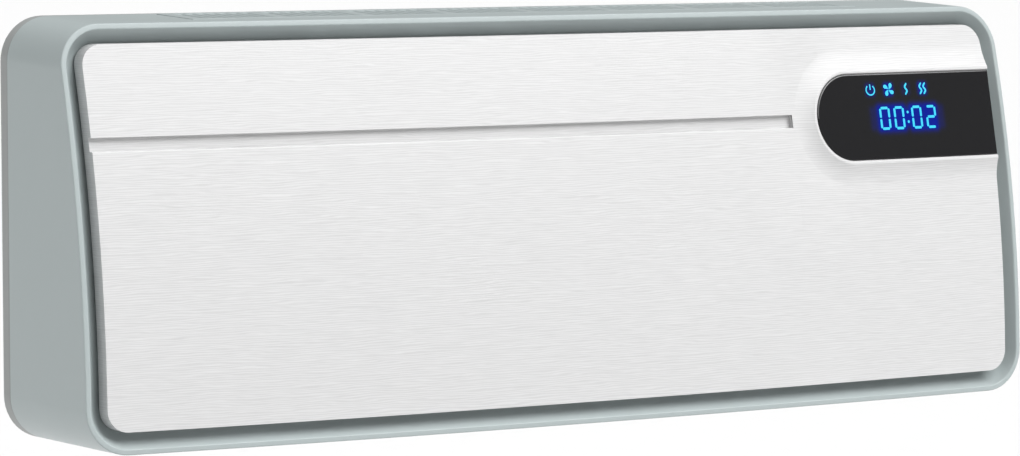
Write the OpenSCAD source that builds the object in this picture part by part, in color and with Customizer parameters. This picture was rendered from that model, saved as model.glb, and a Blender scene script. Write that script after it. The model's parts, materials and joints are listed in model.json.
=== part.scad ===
// Bathroom wall fan heater: a moulded housing with a floating front panel, a lit
// display, a tangential fan, a ceramic heating element and an outlet flap below.
// X runs to the right, the front faces -Y and the wall lies at y = 0. The origin
// is the middle of the two keyholes, on the wall face. Heights in the source are
// measured up from the foot of the front, and depths away from the wall.

/* [Housing] */
// Width over the sides
body_w = 548; // [500:1:680]
// Height of the front
body_h = 200; // [180:1:260]
// Room in front of the impeller, up to the front of the sides at their foot
front_room = 23.4; // [22:0.2:40]
// How far the middle of the front stands out beyond its ends
bow = 11.2; // [2:0.2:20]
// How far the top of the front lies behind its foot
top_drop = 28.24; // [10:0.02:32]
// Height at which the front is deepest
arc_foot = 9; // [0:1:40]
// How much the top wall climbs towards the wall
top_rise = 2.7; // [0:0.1:4]
// Radius of the outer corners
corner_r = 21.5; // [16:0.5:30]
// Wall of the mouldings
wall = 2.4; // [2:0.1:3]
// Depth of the rear cover that shows
seam_depth = 7; // [5:0.5:12]
// Width of the rim round the front
rim_w = 2.85; // [2.5:0.05:4]
// Depth of the recess behind the rim
recess = 11; // [10:0.5:14]
// Thickness of the recess floor
floor_t = 2.2; // [1.8:0.1:3]

/* [Front panel] */
// Gap from the outline of the housing to the panel
panel_gap = 10.7; // [8:0.1:14]
// Thickness of the panel
panel_t = 7; // [5:0.5:8]
// Height of the top of the groove
groove_h = 147.2; // [120:0.2:170]
// Width of the groove
groove_w = 6.4; // [4:0.2:10]
// Depth of the groove
groove_depth = 2.7; // [1:0.1:3.5]
// Distance from the right side of the housing to the end of the groove
groove_stop = 143.4; // [142:0.2:300]

/* [Display] */
// Height of the display window
window_h = 44; // [36:1:50]
// Length of the display window
window_l = 118.4; // [90:0.2:122]
// Height of the window's centre
window_mid_h = 145; // [120:1:150]
// Thickness of the window
window_t = 2; // [1.5:0.1:2.5]
// How far the window stands out from the panel
plateau_rise = 3.1; // [2:0.1:5]
// Width of the smooth slope round the window
blend_w = 9; // [5:0.5:11]
// Width of the lip round the window
lip_w = 2.2; // [1.5:0.1:4]

/* [Air duct] */
// Width of the bay to the left of the duct
left_bay = 76; // [60:1:120]
// Width of the bay to the right of the duct
right_bay = 134; // [130:1:160]
// Thickness of the air guides
guide_t = 1.5; // [1.2:0.1:2]
// Thickness of the end plates
plate_t = 2.5; // [2:0.1:3]
// Distance from the wall to the face of the rear air guide
rear_face = 10; // [9.5:0.5:14]
// How much larger the scroll's radius is than the impeller's
scroll_growth = 9; // [7:0.5:13]
// Width of the outlet
outlet_w = 43.5; // [40:0.5:46]
// Depth of the intake in the top
intake_depth = 38; // [30:1:42]
// Width of the intake in the top
intake_w = 392; // [320:1:420]

/* [Fan] */
// Radius of the impeller
fan_r = 25; // [22:0.5:26]
// Number of blades in a section
blades = 24; // [16:1:32]
// Number of sections
sections = 5; // [3:1:8]
// Diameter of the shaft
shaft_dia = 5; // [4:0.5:6]
// Radial running clearance of the shafts and pins
run_gap = 0.05; // [0.03:0.01:0.08]

/* [Heating element] */
// Height of the underside of the element
heater_low = 52; // [46:1:60]
// Height of the element along the air stream
heater_ht = 26; // [20:1:30]
// Depth of the element
heater_dep = 40; // [34:0.5:40]
// Pitch of the corrugated fins
fin_pitch = 6; // [4:0.5:8]

/* [Outlet flap] */
// Half the width of the flap
flap_half = 20; // [18:0.5:20]
// Height of the flap's axis
flap_axis_h = 8; // [7.5:0.5:9]
// Diameter of the flap's right pin
pin_dia = 4; // [3:0.5:5]

/* [Wall fixing] */
// Distance between the keyholes
key_spacing = 300; // [240:10:360]
// Distance from the top of the front down to the keyholes
key_drop = 50; // [40:1:60]
// Diameter of the round part of a keyhole
key_dia = 10; // [9:0.5:12]
// Width of the slot of a keyhole
key_slot = 5.2; // [4.5:0.1:6]

/* [Hidden] */

$fn = 48;
// Clearance between pieces that are only placed beside each other
gap = 0.3;
// Clearance of a piece that is clipped or slid into its seat
seat = 0.15;
// Radial room left where a screw or a shaft is held fast
held = 0.02;
// Clearance between the impeller and the air guides
fan_clear = 3;
half_w = body_w / 2;
scroll_r = fan_r + scroll_growth;
fan_d = rear_face + fan_clear + fan_r;
side_depth = fan_d + fan_r + front_room;
rise_run = body_h - arc_foot;
side_arc_r = (rise_run * rise_run + top_drop * top_drop) / (2 * top_drop);
key_h = body_h - key_drop;
centre_depth = side_depth + bow;
bow_r = (half_w * half_w + bow * bow) / (2 * bow);

// Places along the width
duct_x0 = left_bay - half_w;
duct_x1 = half_w - right_bay;
post_x = half_w - 22;
window_r = window_h / 2;
panel_x = half_w - panel_gap;
window_arc_x = panel_x - window_l + window_r;
display_x = panel_x - 58;

// Heights above the foot of the front
duct_low = wall + 0.2;
duct_top = body_h - 6;
heater_top = heater_low + heater_ht;
fan_h = heater_top + 17 + fan_r;
guard_h = flap_axis_h + flap_half;
post_low = 24;

// Distances from the wall
scroll_sweep = 55;
heater_clear = 1;
heater_d0 = min(rear_face + scroll_r * (1 - cos(scroll_sweep)) + 0.5,
                duct_limit(heater_top) - heater_clear - heater_dep);
heater_d1 = heater_d0 + heater_dep;
outlet_d1 = front_d(duct_x0, guard_h) - recess - floor_t - 2.6;
outlet_d0 = outlet_d1 - outlet_w;
flap_d = (outlet_d0 + outlet_d1) / 2;
post_split = 28;
intake_d0 = seam_depth + 3;
intake_d1 = intake_d0 + intake_depth;
shaft_r = shaft_dia / 2;

// Positions of the screw posts and of the panel's clips, as [x, height]
posts = [for (side = [-1, 1], h = [post_low, body_h / 2, body_h - post_low]) [side * post_x, h]];
clip_inset = 17.5;
clips = [for (i = [-1.5:1:1.5], h = [clip_inset, body_h - clip_inset]) [i * (half_w - 64) / 1.5, h]];

// ---- The double-curved front ----

function up(h) = h - key_h;
function in_plane(d, h) = [-d, up(h)];
function arc_drop(h) = side_arc_r - sqrt(side_arc_r * side_arc_r - (h - arc_foot) * (h - arc_foot));
function bow_drop(x) = bow_r - sqrt(bow_r * bow_r - x * x);
function front_d(x, h) = centre_depth - arc_drop(h) - bow_drop(x);
function top_h(d) = body_h + top_rise * (1 - d / front_d(half_w, body_h));
function on_skin(x, h, setback) = [x, setback - front_d(x, h), up(h)];
function smooth(t) = t * t * (3 - 2 * t);
function reversed(list) = [for (i = [len(list) - 1:-1:0]) list[i]];

// Points of a rounded rectangle, inset from the outline of the housing
corner_steps = 5;
long_steps = 10;
short_steps = 6;
function corner_centre(k, inset, rise) =
    let (r = max(corner_r - inset, 1), sx = (k == 0 || k == 3) ? 1 : -1)
    [sx * (half_w - inset - r), k < 2 ? body_h + rise - inset - r : inset + r, r];
function corner(k, i, inset, rise) =
    let (c = corner_centre(k % 4, inset, rise), a = 90 * (k % 4) + 90 * i / corner_steps)
    [c[0] + c[2] * cos(a), c[1] + c[2] * sin(a)];
function outline(inset, rise = 0) = [
    for (k = [0:3]) each concat(
        [for (i = [0:corner_steps]) corner(k, i, inset, rise)],
        let (a = corner(k, corner_steps, inset, rise), b = corner(k + 1, 0, inset, rise),
             n = k % 2 == 0 ? long_steps : short_steps)
        [for (i = [1:n - 1]) a + (b - a) * i / n])
];

// A closed skin through rings of an even number of points each, with both ends closed
module ring_skin(rings) {
    n = len(rings[0]);
    last = len(rings) - 1;
    walls = [
        for (i = [0:last - 1], j = [0:n - 1])
        let (a = i * n, b = a + n, k = (j + 1) % n)
        each [[a + j, b + j, b + k], [a + j, b + k, a + k]]
    ];
    ends = [
        for (j = [0:n / 2 - 2])
        let (p = j, q = j + 1, r = n - 2 - j, s = n - 1 - j, e = last * n)
        each [[p, r, q], [e + p, e + q, e + r], [p, s, r], [e + p, e + r, e + s]]
    ];
    polyhedron([for (r = rings) each r], concat(walls, ends));
}

// A slab that follows the front between two setbacks, over a rectangle of the front
module curved_slab(x0, x1, h0, h1, s0, s1, nx, nh) {
    w = nh + 1;
    back = (nx + 1) * w;
    layer = [for (s = [s0, s1], i = [0:nx], j = [0:nh])
        on_skin(x0 + (x1 - x0) * i / nx, h0 + (h1 - h0) * j / nh, s)];
    skins = [
        for (i = [0:nx - 1], j = [0:nh - 1])
        let (a = i * w + j, b = a + 1, d = a + w, c = d + 1)
        each [[a, b, c], [a, c, d], [back + a, back + c, back + b], [back + a, back + d, back + c]]
    ];
    edges_x = [
        for (i = [0:nx - 1])
        let (a = i * w, d = a + w, b = a + nh, c = d + nh)
        each [[a, d, back + d], [a, back + d, back + a], [b, back + b, back + c], [b, back + c, c]]
    ];
    edges_h = [
        for (j = [0:nh - 1])
        let (a = j, b = j + 1, c = nx * w + j, d = c + 1)
        each [[a, back + a, back + b], [a, back + b, b], [c, d, back + d], [c, back + d, back + c]]
    ];
    polyhedron(layer, concat(skins, edges_x, edges_h));
}

// Places its children on the front, with their -Y along its outward direction
module on_front(x, h, setback) {
    translate(on_skin(x, h, 0))
        rotate([-asin((h - arc_foot) / side_arc_r), 0, 0])
            rotate([0, 0, asin(x / bow_r)])
                translate([0, setback, 0])
                    children();
}

module on_display(setback) {
    on_front(display_x, window_mid_h, setback) children();
}

// ---- Shapes that repeat ----

// Extrudes a drawing of (x, height above the origin) from depth d0 to depth d1
module along_y(d0, d1) {
    translate([0, -d0, 0]) rotate([90, 0, 0]) linear_extrude(d1 - d0) children();
}

// Extrudes a drawing of (y, height above the origin) from x0 to x1
module along_x(x0, x1) {
    translate([x0, 0, 0]) rotate([90, 0, 90]) linear_extrude(x1 - x0) children();
}

module rounded_rect(x0, x1, z0, z1, r) {
    translate([x0, z0 + r]) square([x1 - x0, z1 - z0 - 2 * r]);
    translate([x0 + r, z0]) square([x1 - x0 - 2 * r, z1 - z0]);
    for (x = [x0 + r, x1 - r], z = [z0 + r, z1 - r]) translate([x, z]) circle(r);
}

module body_outline(inset) {
    rounded_rect(inset - half_w, half_w - inset, up(inset), up(top_h(seam_depth) - inset),
                 corner_r - inset);
}

module box_at(x0, x1, d0, d1, h0, h1) {
    translate([x0, -d1, up(h0)]) cube([x1 - x0, d1 - d0, h1 - h0]);
}

// Round bar along the wall's normal, from depth d0 to depth d1
module bar_y(x, h, d0, d1, r, sides = $fn) {
    translate([x, -d0, up(h)]) rotate([90, 0, 0]) cylinder(h = d1 - d0, r = r, $fn = sides);
}

// Round bar along the width
module bar_x(d, h, x0, x1, r) {
    translate([x0, -d, up(h)]) rotate([0, 90, 0]) cylinder(h = x1 - x0, r = r);
}

// Screw with a pan head, its tip pointing away from the wall
module screw_y(x, h, d_head, length, r) {
    bar_y(x, h, d_head, d_head + 1.8, 2.1 * r);
    bar_y(x, h, d_head + 1.8, d_head + 1.8 + length, r);
}

// Insulated lead along a route of right-angled corners, bent round each corner
lead_bend = 4;
function unit(v) = v / norm(v);
module lead(route, r) {
    last = len(route) - 1;
    for (i = [0:last - 1]) {
        u = unit(route[i + 1] - route[i]);
        start = route[i] + (i > 0 ? lead_bend * u : [0, 0, 0]);
        end = route[i + 1] - (i < last - 1 ? lead_bend * u : [0, 0, 0]);
        translate(start)
            rotate([0, acos(u[2]), atan2(u[1], u[0])])
                cylinder(h = norm(end - start), r = r);
    }
    for (i = [1:last - 1]) {
        a = unit(route[i] - route[i - 1]);
        b = unit(route[i + 1] - route[i]);
        c = route[i] + lead_bend * (b - a);
        z = cross(a, b);
        multmatrix([
            [-b[0], a[0], z[0], c[0]],
            [-b[1], a[1], z[1], c[1]],
            [-b[2], a[2], z[2], c[2]],
            [0, 0, 0, 1]
        ])
            rotate_extrude(angle = 90) translate([lead_bend, 0]) circle(r);
    }
}

// ---- Casing ----

lip_t = 1.2;
lip_len = 2.5;
lip_gap = 0.45;
pad_t = 1.2;
module keyhole(x) {
    slot_top = 9;
    translate([x, 0]) circle(key_dia / 2);
    translate([x - key_slot / 2, 0]) square([key_slot, slot_top]);
    translate([x, slot_top]) circle(key_slot / 2);
}

module rear_cover() {
    head_r = 4;
    color([0.60, 0.61, 0.61])
    difference() {
        union() {
            along_y(0, wall) body_outline(0);
            along_y(wall, seam_depth) difference() {
                body_outline(0);
                body_outline(wall);
            }
            along_y(wall, seam_depth + lip_len) difference() {
                body_outline(wall + lip_gap);
                body_outline(wall + lip_gap + lip_t);
            }
            for (side = [-1, 1])
                along_y(wall, wall + pad_t)
                    rounded_rect(side * key_spacing / 2 - 12, side * key_spacing / 2 + 12, -11, 18, 4);
            for (p = posts) bar_y(p[0], p[1], wall, post_split, 5);
            for (p = board_posts) bar_y(p[0], p[1], wall, board_d, 3);
        }
        along_y(-1, wall + pad_t + 1) for (side = [-1, 1]) keyhole(side * key_spacing / 2);
        for (p = posts) {
            bar_y(p[0], p[1], -1, 14, head_r);
            bar_y(p[0], p[1], 13, post_split + 1, 1.8);
        }
        for (p = board_posts) bar_y(p[0], p[1], wall + 1, board_d + 1, 1.2 + held);
        for (p = duct_feet) bar_y(p[0], p[1], -1, wall + 1, 1.6 + held);
    }
}

// Rings of the moulding, from the back of the recess floor round the walls and the rim
// to the face of the floor: [inset, setback, counted from the front or from the wall]
floor_steps = 4;
floor_edge = rim_w + 11;
function floor_inset(i) = floor_edge + (body_h / 2 - 2 - floor_edge) * i / floor_steps;
rim_section = concat(
    [for (i = [floor_steps:-1:1]) [floor_inset(i), recess + floor_t, true]],
    [[rim_w + 10, recess + floor_t, true], [rim_w + 3.6, recess + 0.4, true],
     [wall + 0.4, recess - 3, true], [wall, recess - 1, true], [wall, seam_depth, false],
     [0, seam_depth, false], [0, 0.9, true], [0.9, 0, true], [rim_w - 0.3, 0, true],
     [rim_w + 0.1, 0.6, true], [rim_w + 1.2, 3.6, true], [rim_w + 3, 6.8, true],
     [rim_w + 6, recess - 1.2, true]],
    [for (i = [0:floor_steps]) [floor_inset(i), recess, true]]);
function rim_ring(s) =
    let (rise = s[2] ? 0 : top_h(s[1]) - body_h)
    [for (p = outline(s[0], rise)) s[2] ? on_skin(p[0], p[1], s[1]) : [p[0], -s[1], up(p[1])]];

rocker_d = 30;
rocker_h = 75;
gland_x = half_w - 59;
gland_d = 20;
gland_r = 6.5;
module front_housing() {
    color([0.65, 0.68, 0.68])
    difference() {
        union() {
            ring_skin([for (s = rim_section) rim_ring(s)]);
            for (p = posts)
                bar_y(p[0], p[1], post_split, front_d(p[0], p[1]) - recess - 1, 4.5, 24);
            for (p = posts) post_gusset(p);
        }
        box_at(-intake_w / 2, intake_w / 2, intake_d0, intake_d1, body_h - wall - 2, body_h + 5);
        box_at(duct_x0, duct_x1, outlet_d0 + 1, outlet_d1 - 1, -1, wall + 1);
        box_at(half_w - wall - 2, half_w + 1, rocker_d - 6.5, rocker_d + 6.5, rocker_h - 9.5, rocker_h + 9.5);
        translate([gland_x, -gland_d, up(-1)]) cylinder(h = wall + 2, r = gland_r + seat, $fn = 32);
        for (p = posts) bar_y(p[0], p[1], post_split - 1, post_split + 18, 1.6, 24);
        for (c = clips) clip_slot(c);
        box_at(display_x - 14, display_x + 14, 40, side_depth, window_mid_h - 8, window_mid_h + 4);
    }
}

// Gusset between a screw post and the recess floor
module post_gusset(p) {
    end = front_d(p[0], p[1]) - recess - 1;
    side = p[0] > 0 ? -1 : 1;
    hull() {
        box_at(p[0] - 0.8, p[0] + 0.8, end - 18, end, p[1] - 4, p[1] + 4);
        box_at(p[0] + side * 10 - 0.8, p[0] + side * 10 + 0.8, end - 2, end, p[1] - 1, p[1] + 1);
    }
}

module clip_slot(c) {
    on_front(c[0], c[1], recess + floor_t + 1)
        hull() for (x = [-4, 4]) translate([x, 0, 0]) rotate([90, 0, 0])
            cylinder(h = floor_t + 2, r = 2, $fn = 16);
}

// ---- Front panel and display ----

module panel_outline(inset) {
    rounded_rect(inset - panel_x, panel_x - inset, up(panel_gap + inset),
                 up(body_h - panel_gap - inset + 1.1), corner_r - panel_gap - inset);
}

// The window's outline: round at the left end, straight at the panel's right edge
window_steps = 24;
module window_outline(grow, right = panel_x) {
    r = window_r + grow;
    translate([window_arc_x, up(window_mid_h)])
        polygon(concat(
            [[right - window_arc_x, r]],
            [for (i = [0:window_steps]) let (a = 90 + 180 * i / window_steps) [r * cos(a), r * sin(a)]],
            [[right - window_arc_x, -r]]));
}

// One ring of the raised field round the window, grown by g and raised by r
field_steps = 6;
field_arc = 19;
// The foot of the slope runs this far below the face, so that they cross at an angle
field_dip = 0.4;
field_toe = 1.4;
function field_ring(g, r) =
    let (rr = window_r + g, x1 = panel_x + 4)
    [for (p = concat(
        [for (i = [0:field_steps - 1]) [x1 + (window_arc_x - x1) * i / field_steps, rr]],
        [for (i = [0:field_arc]) let (a = 90 + 180 * i / field_arc)
            [window_arc_x + rr * cos(a), rr * sin(a)]],
        [for (i = [field_steps - 1:-1:0]) [x1 + (window_arc_x - x1) * i / field_steps, -rr]]))
        on_skin(p[0], window_mid_h + p[1], -r)];
function field_section() = concat(
    [[blend_w + lip_w + field_toe, -panel_t / 2], [blend_w + lip_w + field_toe, -field_dip]],
    [for (i = [1:6]) let (t = i / 6) [lip_w + blend_w * (1 - t), (plateau_rise - 0.4) * smooth(t)]],
    [[lip_w - 0.3, plateau_rise - 0.1], [lip_w - 0.8, plateau_rise]]);

// Clip with a barb that catches behind the recess floor
module clip_nose(c) {
    barb = recess + floor_t + 0.4;
    on_front(c[0], c[1], 0) {
        translate([-3, panel_t - 1.5, -1.2]) cube([6, barb - panel_t + 2.5, 2.4]);
        hull() {
            translate([-3, barb, -2.6]) cube([6, 1, 5.2]);
            translate([-3, barb + 3, -1]) cube([6, 0.4, 2]);
        }
    }
}

module front_panel() {
    color([0.93, 0.93, 0.94])
    difference() {
        union() {
            intersection() {
                union() {
                    curved_slab(-half_w, half_w, 0, body_h, 0, panel_t, 12, 8);
                    ring_skin([for (s = field_section()) field_ring(s[0], s[1])]);
                }
                along_y(20, centre_depth + 10) panel_outline(0);
            }
            for (c = clips) clip_nose(c);
            display_pegs();
        }
        intersection() {
            curved_slab(-half_w, half_w - groove_stop, groove_h - groove_w, groove_h,
                        -2, groove_depth, 10, 1);
            along_y(20, centre_depth + 10) panel_outline(-1);
        }
        intersection() {
            curved_slab(window_arc_x - window_h, half_w, window_mid_h - window_h, window_mid_h + window_h,
                        -plateau_rise - 2, window_t - plateau_rise, 8, 6);
            along_y(20, centre_depth + 10) window_outline(0, panel_x + 2);
        }
        on_display(-plateau_rise - 1) translate([-32, 0, -10]) cube([64, 20, 30]);
        intersection() {
            curved_slab(12 - panel_x, panel_x - 12, panel_gap + 12, window_mid_h - window_r - blend_w,
                        panel_t - 3, panel_t + 1, 12, 6);
            for (i = [-2:2])
                box_at(i * 96 - 46, i * 96 + 46, 0, centre_depth, 0, body_h);
        }
    }
}

module display_window() {
    color([0.06, 0.06, 0.07])
    intersection() {
        curved_slab(window_arc_x - window_h, half_w, window_mid_h - window_h, window_mid_h + window_h,
                    -plateau_rise, window_t - plateau_rise - 0.05, 8, 6);
        along_y(20, centre_depth + 10) window_outline(-seat, panel_x);
    }
}

// Setback of the face of the display board, and the places of its four pegs
board_front = panel_t + 0.9;
board_t = 1.6;
peg_x = 41;
peg_z = 15;
peg_r = 1.3;
module display_pegs() {
    on_display(0)
        for (x = [-peg_x, peg_x], z = [-peg_z, peg_z])
            translate([x, board_front + board_t + 0.9, z]) rotate([90, 0, 0]) {
                cylinder(h = board_front + board_t - panel_t + 2.4, r = peg_r, $fn = 16);
                cylinder(h = 0.8, r = peg_r + 0.8, $fn = 16);
            }
}

module display_board() {
    color([0.10, 0.35, 0.20])
    on_display(board_front)
        difference() {
            translate([-45, 0, -19]) cube([90, board_t, 38]);
            for (x = [-peg_x, peg_x], z = [-peg_z, peg_z])
                translate([x, board_t + 1, z]) rotate([90, 0, 0]) cylinder(h = board_t + 2, r = peg_r + 0.1);
        }
}

module led_display() {
    face = window_t - plateau_rise + gap;
    color([0.12, 0.12, 0.13])
    on_display(face) translate([-21, 0, -9]) cube([42, board_front - face, 16]);
}

module icon_leds() {
    color([0.85, 0.90, 0.95])
    on_display(board_front - 1.2)
        for (i = [0:3])
            translate([-25.5 + 11.7 * i, 0, 12.4]) cube([3.2, 1.2, 2]);
}

module ir_receiver() {
    color([0.10, 0.10, 0.11])
    on_display(board_front - 4.4) {
        translate([24.1, 1.4, -5.6]) cube([5.8, 3, 7]);
        translate([27, 1.4, -2]) rotate([90, 0, 0]) cylinder(h = 1.2, r = 2);
    }
}

// ---- Intake ----

slot_pitch = 6;
grille_rise = 0.4;
module intake_grille() {
    low = duct_top + 2.7;
    d0 = intake_d0 + gap;
    d1 = intake_d1 - gap;
    slots = floor((intake_w / 2 - 8) / slot_pitch);
    color([0.62, 0.65, 0.65])
    difference() {
        union() {
            along_x(gap - intake_w / 2, intake_w / 2 - gap)
                polygon([in_plane(d0, low), in_plane(d0, top_h(d0) + grille_rise),
                         in_plane(d1, top_h(d1) + grille_rise), in_plane(d1, low)]);
            box_at(-intake_w / 2 - 3, intake_w / 2 + 3, d0, d1 + 3, low, low + 0.8);
        }
        translate([0, 0, up(low) - 1]) linear_extrude(10)
            for (i = [-slots:slots]) if (i % 8 != 0)
                rounded_rect(i * slot_pitch - 1.7, i * slot_pitch + 1.7, 4 - d1, -d0 - 4, 1.6);
    }
}

module dust_filter() {
    low = duct_top + 0.2;
    ribs = 9;
    w = intake_w - 4;
    color([0.25, 0.26, 0.27]) {
        difference() {
            box_at(-w / 2, w / 2, intake_d0 + 1, intake_d1 - 1, low, low + 2.4);
            for (i = [0:ribs - 1])
                box_at(-w / 2 + 3 + i * (w - 3) / ribs, -w / 2 + (i + 1) * (w - 3) / ribs,
                       intake_d0 + 4, intake_d1 - 4, low + 0.8, low + 3);
        }
    }
}

// ---- Air duct ----

// Front face of the duct: clear of the fan and the element, following the front above them
function duct_limit(h) = front_d(duct_x0, h) - recess - floor_t - 3;
function duct_front(h) = min(max(fan_d + fan_r + fan_clear, heater_d1 + heater_clear), duct_limit(h));
guide_steps = 8;
tongue_drop = 10;
function front_path() = concat(
    [for (i = [0:guide_steps]) let (h = duct_top + (fan_h - duct_top) * i / guide_steps)
        [duct_front(h), h]],
    [[duct_front(fan_h), fan_h - tongue_drop - 2], [duct_front(heater_top + 1), heater_top + 1],
     [duct_front(heater_top + 1), heater_low - 2], [outlet_d1, guard_h + 4], [outlet_d1, duct_low]]);
function rear_path() = concat(
    [[rear_face, duct_top]],
    [for (i = [0:guide_steps]) let (a = scroll_sweep * i / guide_steps)
        [rear_face + scroll_r * (1 - cos(a)), fan_h - scroll_r * sin(a)]],
    [[heater_d0 - 0.5, heater_top + 1], [heater_d0 - 0.5, heater_low - 2],
     [outlet_d0, guard_h + 4], [outlet_d0, duct_low]]);
function shifted(path, by) = [for (p = path) in_plane(p[0] + by, p[1])];

module rear_air_guide() {
    color([0.30, 0.31, 0.32])
    along_x(duct_x0, duct_x1) {
        polygon(concat(shifted(rear_path(), 0), reversed(shifted(rear_path(), -guide_t))));
    }
}

// The front guide carries the round vortex tongue beside the impeller
tongue_r = 1.8;
module front_air_guide() {
    color([0.30, 0.31, 0.32]) {
        along_x(duct_x0, duct_x1) {
            polygon(concat(shifted(front_path(), 0), reversed(shifted(front_path(), guide_t))));
        }
        bar_x(duct_front(fan_h) - 0.4, fan_h - tongue_drop, duct_x0, duct_x1, tongue_r);
    }
}

// The end plates stand clear of the keyhole pads and of the cover's lip
module plate_outline() {
    back = wall + pad_t + 0.2;
    front = seam_depth + lip_len + 1;
    polygon(concat(
        [in_plane(front, duct_low), in_plane(front, 6), in_plane(back, 6), in_plane(back, duct_top)],
        shifted(front_path(), guide_t)));
}

foot_h = [40, duct_top - 12];
duct_feet = [for (x = [duct_x0 - 9, duct_x1 + 9], h = foot_h) [x, h]];
module end_plate(x0, side) {
    along_x(x0, x0 + plate_t) children();
    for (h = foot_h)
        difference() {
            box_at(side > 0 ? x0 + plate_t : x0 - 13, side > 0 ? x0 + plate_t + 13 : x0,
                   wall, wall + 2.2, h - 7, h + 7);
            bar_y(side > 0 ? duct_x1 + 9 : duct_x0 - 9, h, wall - 1, wall + 4, 1.6 + held);
        }
}

holder_screw_z = 17;
motor_offset = 7;
ear_h = 14.8;
module left_end_plate() {
    color([0.28, 0.29, 0.30])
    end_plate(duct_x0 - plate_t, -1) difference() {
        plate_outline();
        translate(in_plane(fan_d, fan_h)) circle(9);
        translate(in_plane(flap_d, flap_axis_h)) circle(shaft_r + run_gap);
        translate(in_plane(flap_d, flap_axis_h + motor_offset + ear_h)) circle(1.4 + held);
        for (z = [-holder_screw_z, holder_screw_z])
            translate(in_plane(fan_d, fan_h + z)) circle(1.5 + held);
    }
}

motor_hole_r = 11;
cutout_d = 57;
cutout_h = 86;
module right_end_plate() {
    color([0.28, 0.29, 0.30]) {
        end_plate(duct_x1, 1) difference() {
            plate_outline();
            translate(in_plane(fan_d, fan_h)) circle(motor_hole_r);
            translate(in_plane(flap_d, flap_axis_h)) circle(pin_dia / 2 + run_gap);
            translate(in_plane(cutout_d, cutout_h)) circle(6);
            for (p = motor_bolts) translate(in_plane(p[0], p[1])) circle(1.4 + held);
        }
    }
}

// ---- Fan ----

disc_t = 2;
// How far the blades and hubs run into the discs
root = 0.5;
fan_x0 = duct_x0 + 5;
fan_x1 = duct_x1 - 5;
section_l = (fan_x1 - fan_x0 - disc_t) / sections;
blade_in = 0.72 * fan_r;
blade_out = 0.97 * fan_r;
blade_arc_r = 0.32 * fan_r;
blade_lead = 14;
blade_t = 0.9;
module blade() {
    a = [blade_in, 0];
    b = blade_out * [cos(blade_lead), sin(blade_lead)];
    m = (a + b) / 2;
    c = norm(b - a) / 2;
    across = [-(b - a)[1], (b - a)[0]] / (2 * c);
    centre = m + across * sqrt(blade_arc_r * blade_arc_r - c * c);
    intersection() {
        translate(centre) difference() {
            circle(blade_arc_r + blade_t / 2);
            circle(blade_arc_r - blade_t / 2);
        }
        polygon([centre, centre + (a - centre) * 1.3, centre + (b - centre) * 1.3]);
    }
}

module ring_2d(outer, inner) {
    difference() {
        circle(outer);
        circle(inner);
    }
}

module fan_impeller() {
    color([0.18, 0.18, 0.19])
    translate([0, -fan_d, up(fan_h)]) {
        for (i = [0:sections]) {
            x = fan_x0 + i * section_l;
            open = i > 0 && i < sections;
            along_x(x, x + disc_t) ring_2d(fan_r, open ? blade_in - 2.5 : shaft_r + held);
        }
        for (i = [0:sections - 1])
            along_x(fan_x0 + i * section_l + disc_t - root, fan_x0 + (i + 1) * section_l + root)
                for (j = [0:blades - 1])
                    rotate((j + 0.5 * (i % 2)) * 360 / blades) blade();
        difference() {
            union() {
                along_x(fan_x0 + disc_t - root, fan_x0 + disc_t + 6) ring_2d(6, shaft_r + held);
                along_x(fan_x1 - disc_t - 12, fan_x1 - disc_t + root) ring_2d(7, shaft_r + held);
            }
            translate([fan_x1 - disc_t - 6, 0, 0]) cylinder(h = 8, r = 1.5 + held);
        }
    }
}

module fan_stub_shaft() {
    color([0.75, 0.76, 0.77]) bar_x(fan_d, fan_h, duct_x0 - plate_t - 7, fan_x0 + disc_t + 5, shaft_r);
}

module hub_screw() {
    color([0.70, 0.71, 0.72])
    translate([fan_x1 - disc_t - 6, -fan_d, up(fan_h) + shaft_r]) cylinder(h = 5, r = 1.5);
}

bush_r = 5;
bush_x0 = duct_x0 - plate_t - 5.5;
module fan_bearing() {
    color([0.72, 0.60, 0.35])
    difference() {
        bar_x(fan_d, fan_h, bush_x0, bush_x0 + 7, bush_r);
        bar_x(fan_d, fan_h, bush_x0 - 1, bush_x0 + 8, shaft_r + run_gap);
    }
}

module bearing_rubber() {
    color([0.12, 0.12, 0.12])
    difference() {
        bar_x(fan_d, fan_h, bush_x0, bush_x0 + 7, 8.7);
        bar_x(fan_d, fan_h, bush_x0 - 1, bush_x0 + 8, bush_r + held);
    }
}

module bearing_holder() {
    x1 = duct_x0 - plate_t;
    color([0.28, 0.29, 0.30])
    difference() {
        union() {
            bar_x(fan_d, fan_h, x1 - 8, x1, 12);
            box_at(x1 - 2.5, x1, fan_d - 9, fan_d + 9, fan_h - 22, fan_h + 22);
        }
        bar_x(fan_d, fan_h, x1 - 5.5, x1 + 1, 8.7 + held);
        bar_x(fan_d, fan_h, x1 - 9, x1, shaft_r + 1);
        for (z = [-holder_screw_z, holder_screw_z])
            bar_x(fan_d, fan_h + z, x1 - 3, x1 + 1, 1.5 + held);
    }
}

// Shaded-pole motor: the stack lies round the shaft, its coil above
stack_x0 = duct_x1 + plate_t + 8;
stack_t = 16;
stack_x1 = stack_x0 + stack_t;
rotor_r = 11;
stack_w = 46;
stack_low = 22;
stack_high = 39;
motor_bolts = [[fan_d - 17, fan_h - 15], [fan_d + 17, fan_h + 9]];
module motor_shaft() {
    color([0.75, 0.76, 0.77])
        bar_x(fan_d, fan_h, fan_x1 - disc_t - 11, stack_x1 + 9, shaft_r);
}

module motor_rotor() {
    color([0.55, 0.56, 0.58])
    difference() {
        bar_x(fan_d, fan_h, stack_x0, stack_x1, rotor_r);
        bar_x(fan_d, fan_h, stack_x0 - 1, stack_x1 + 1, shaft_r + held);
    }
}

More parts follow.
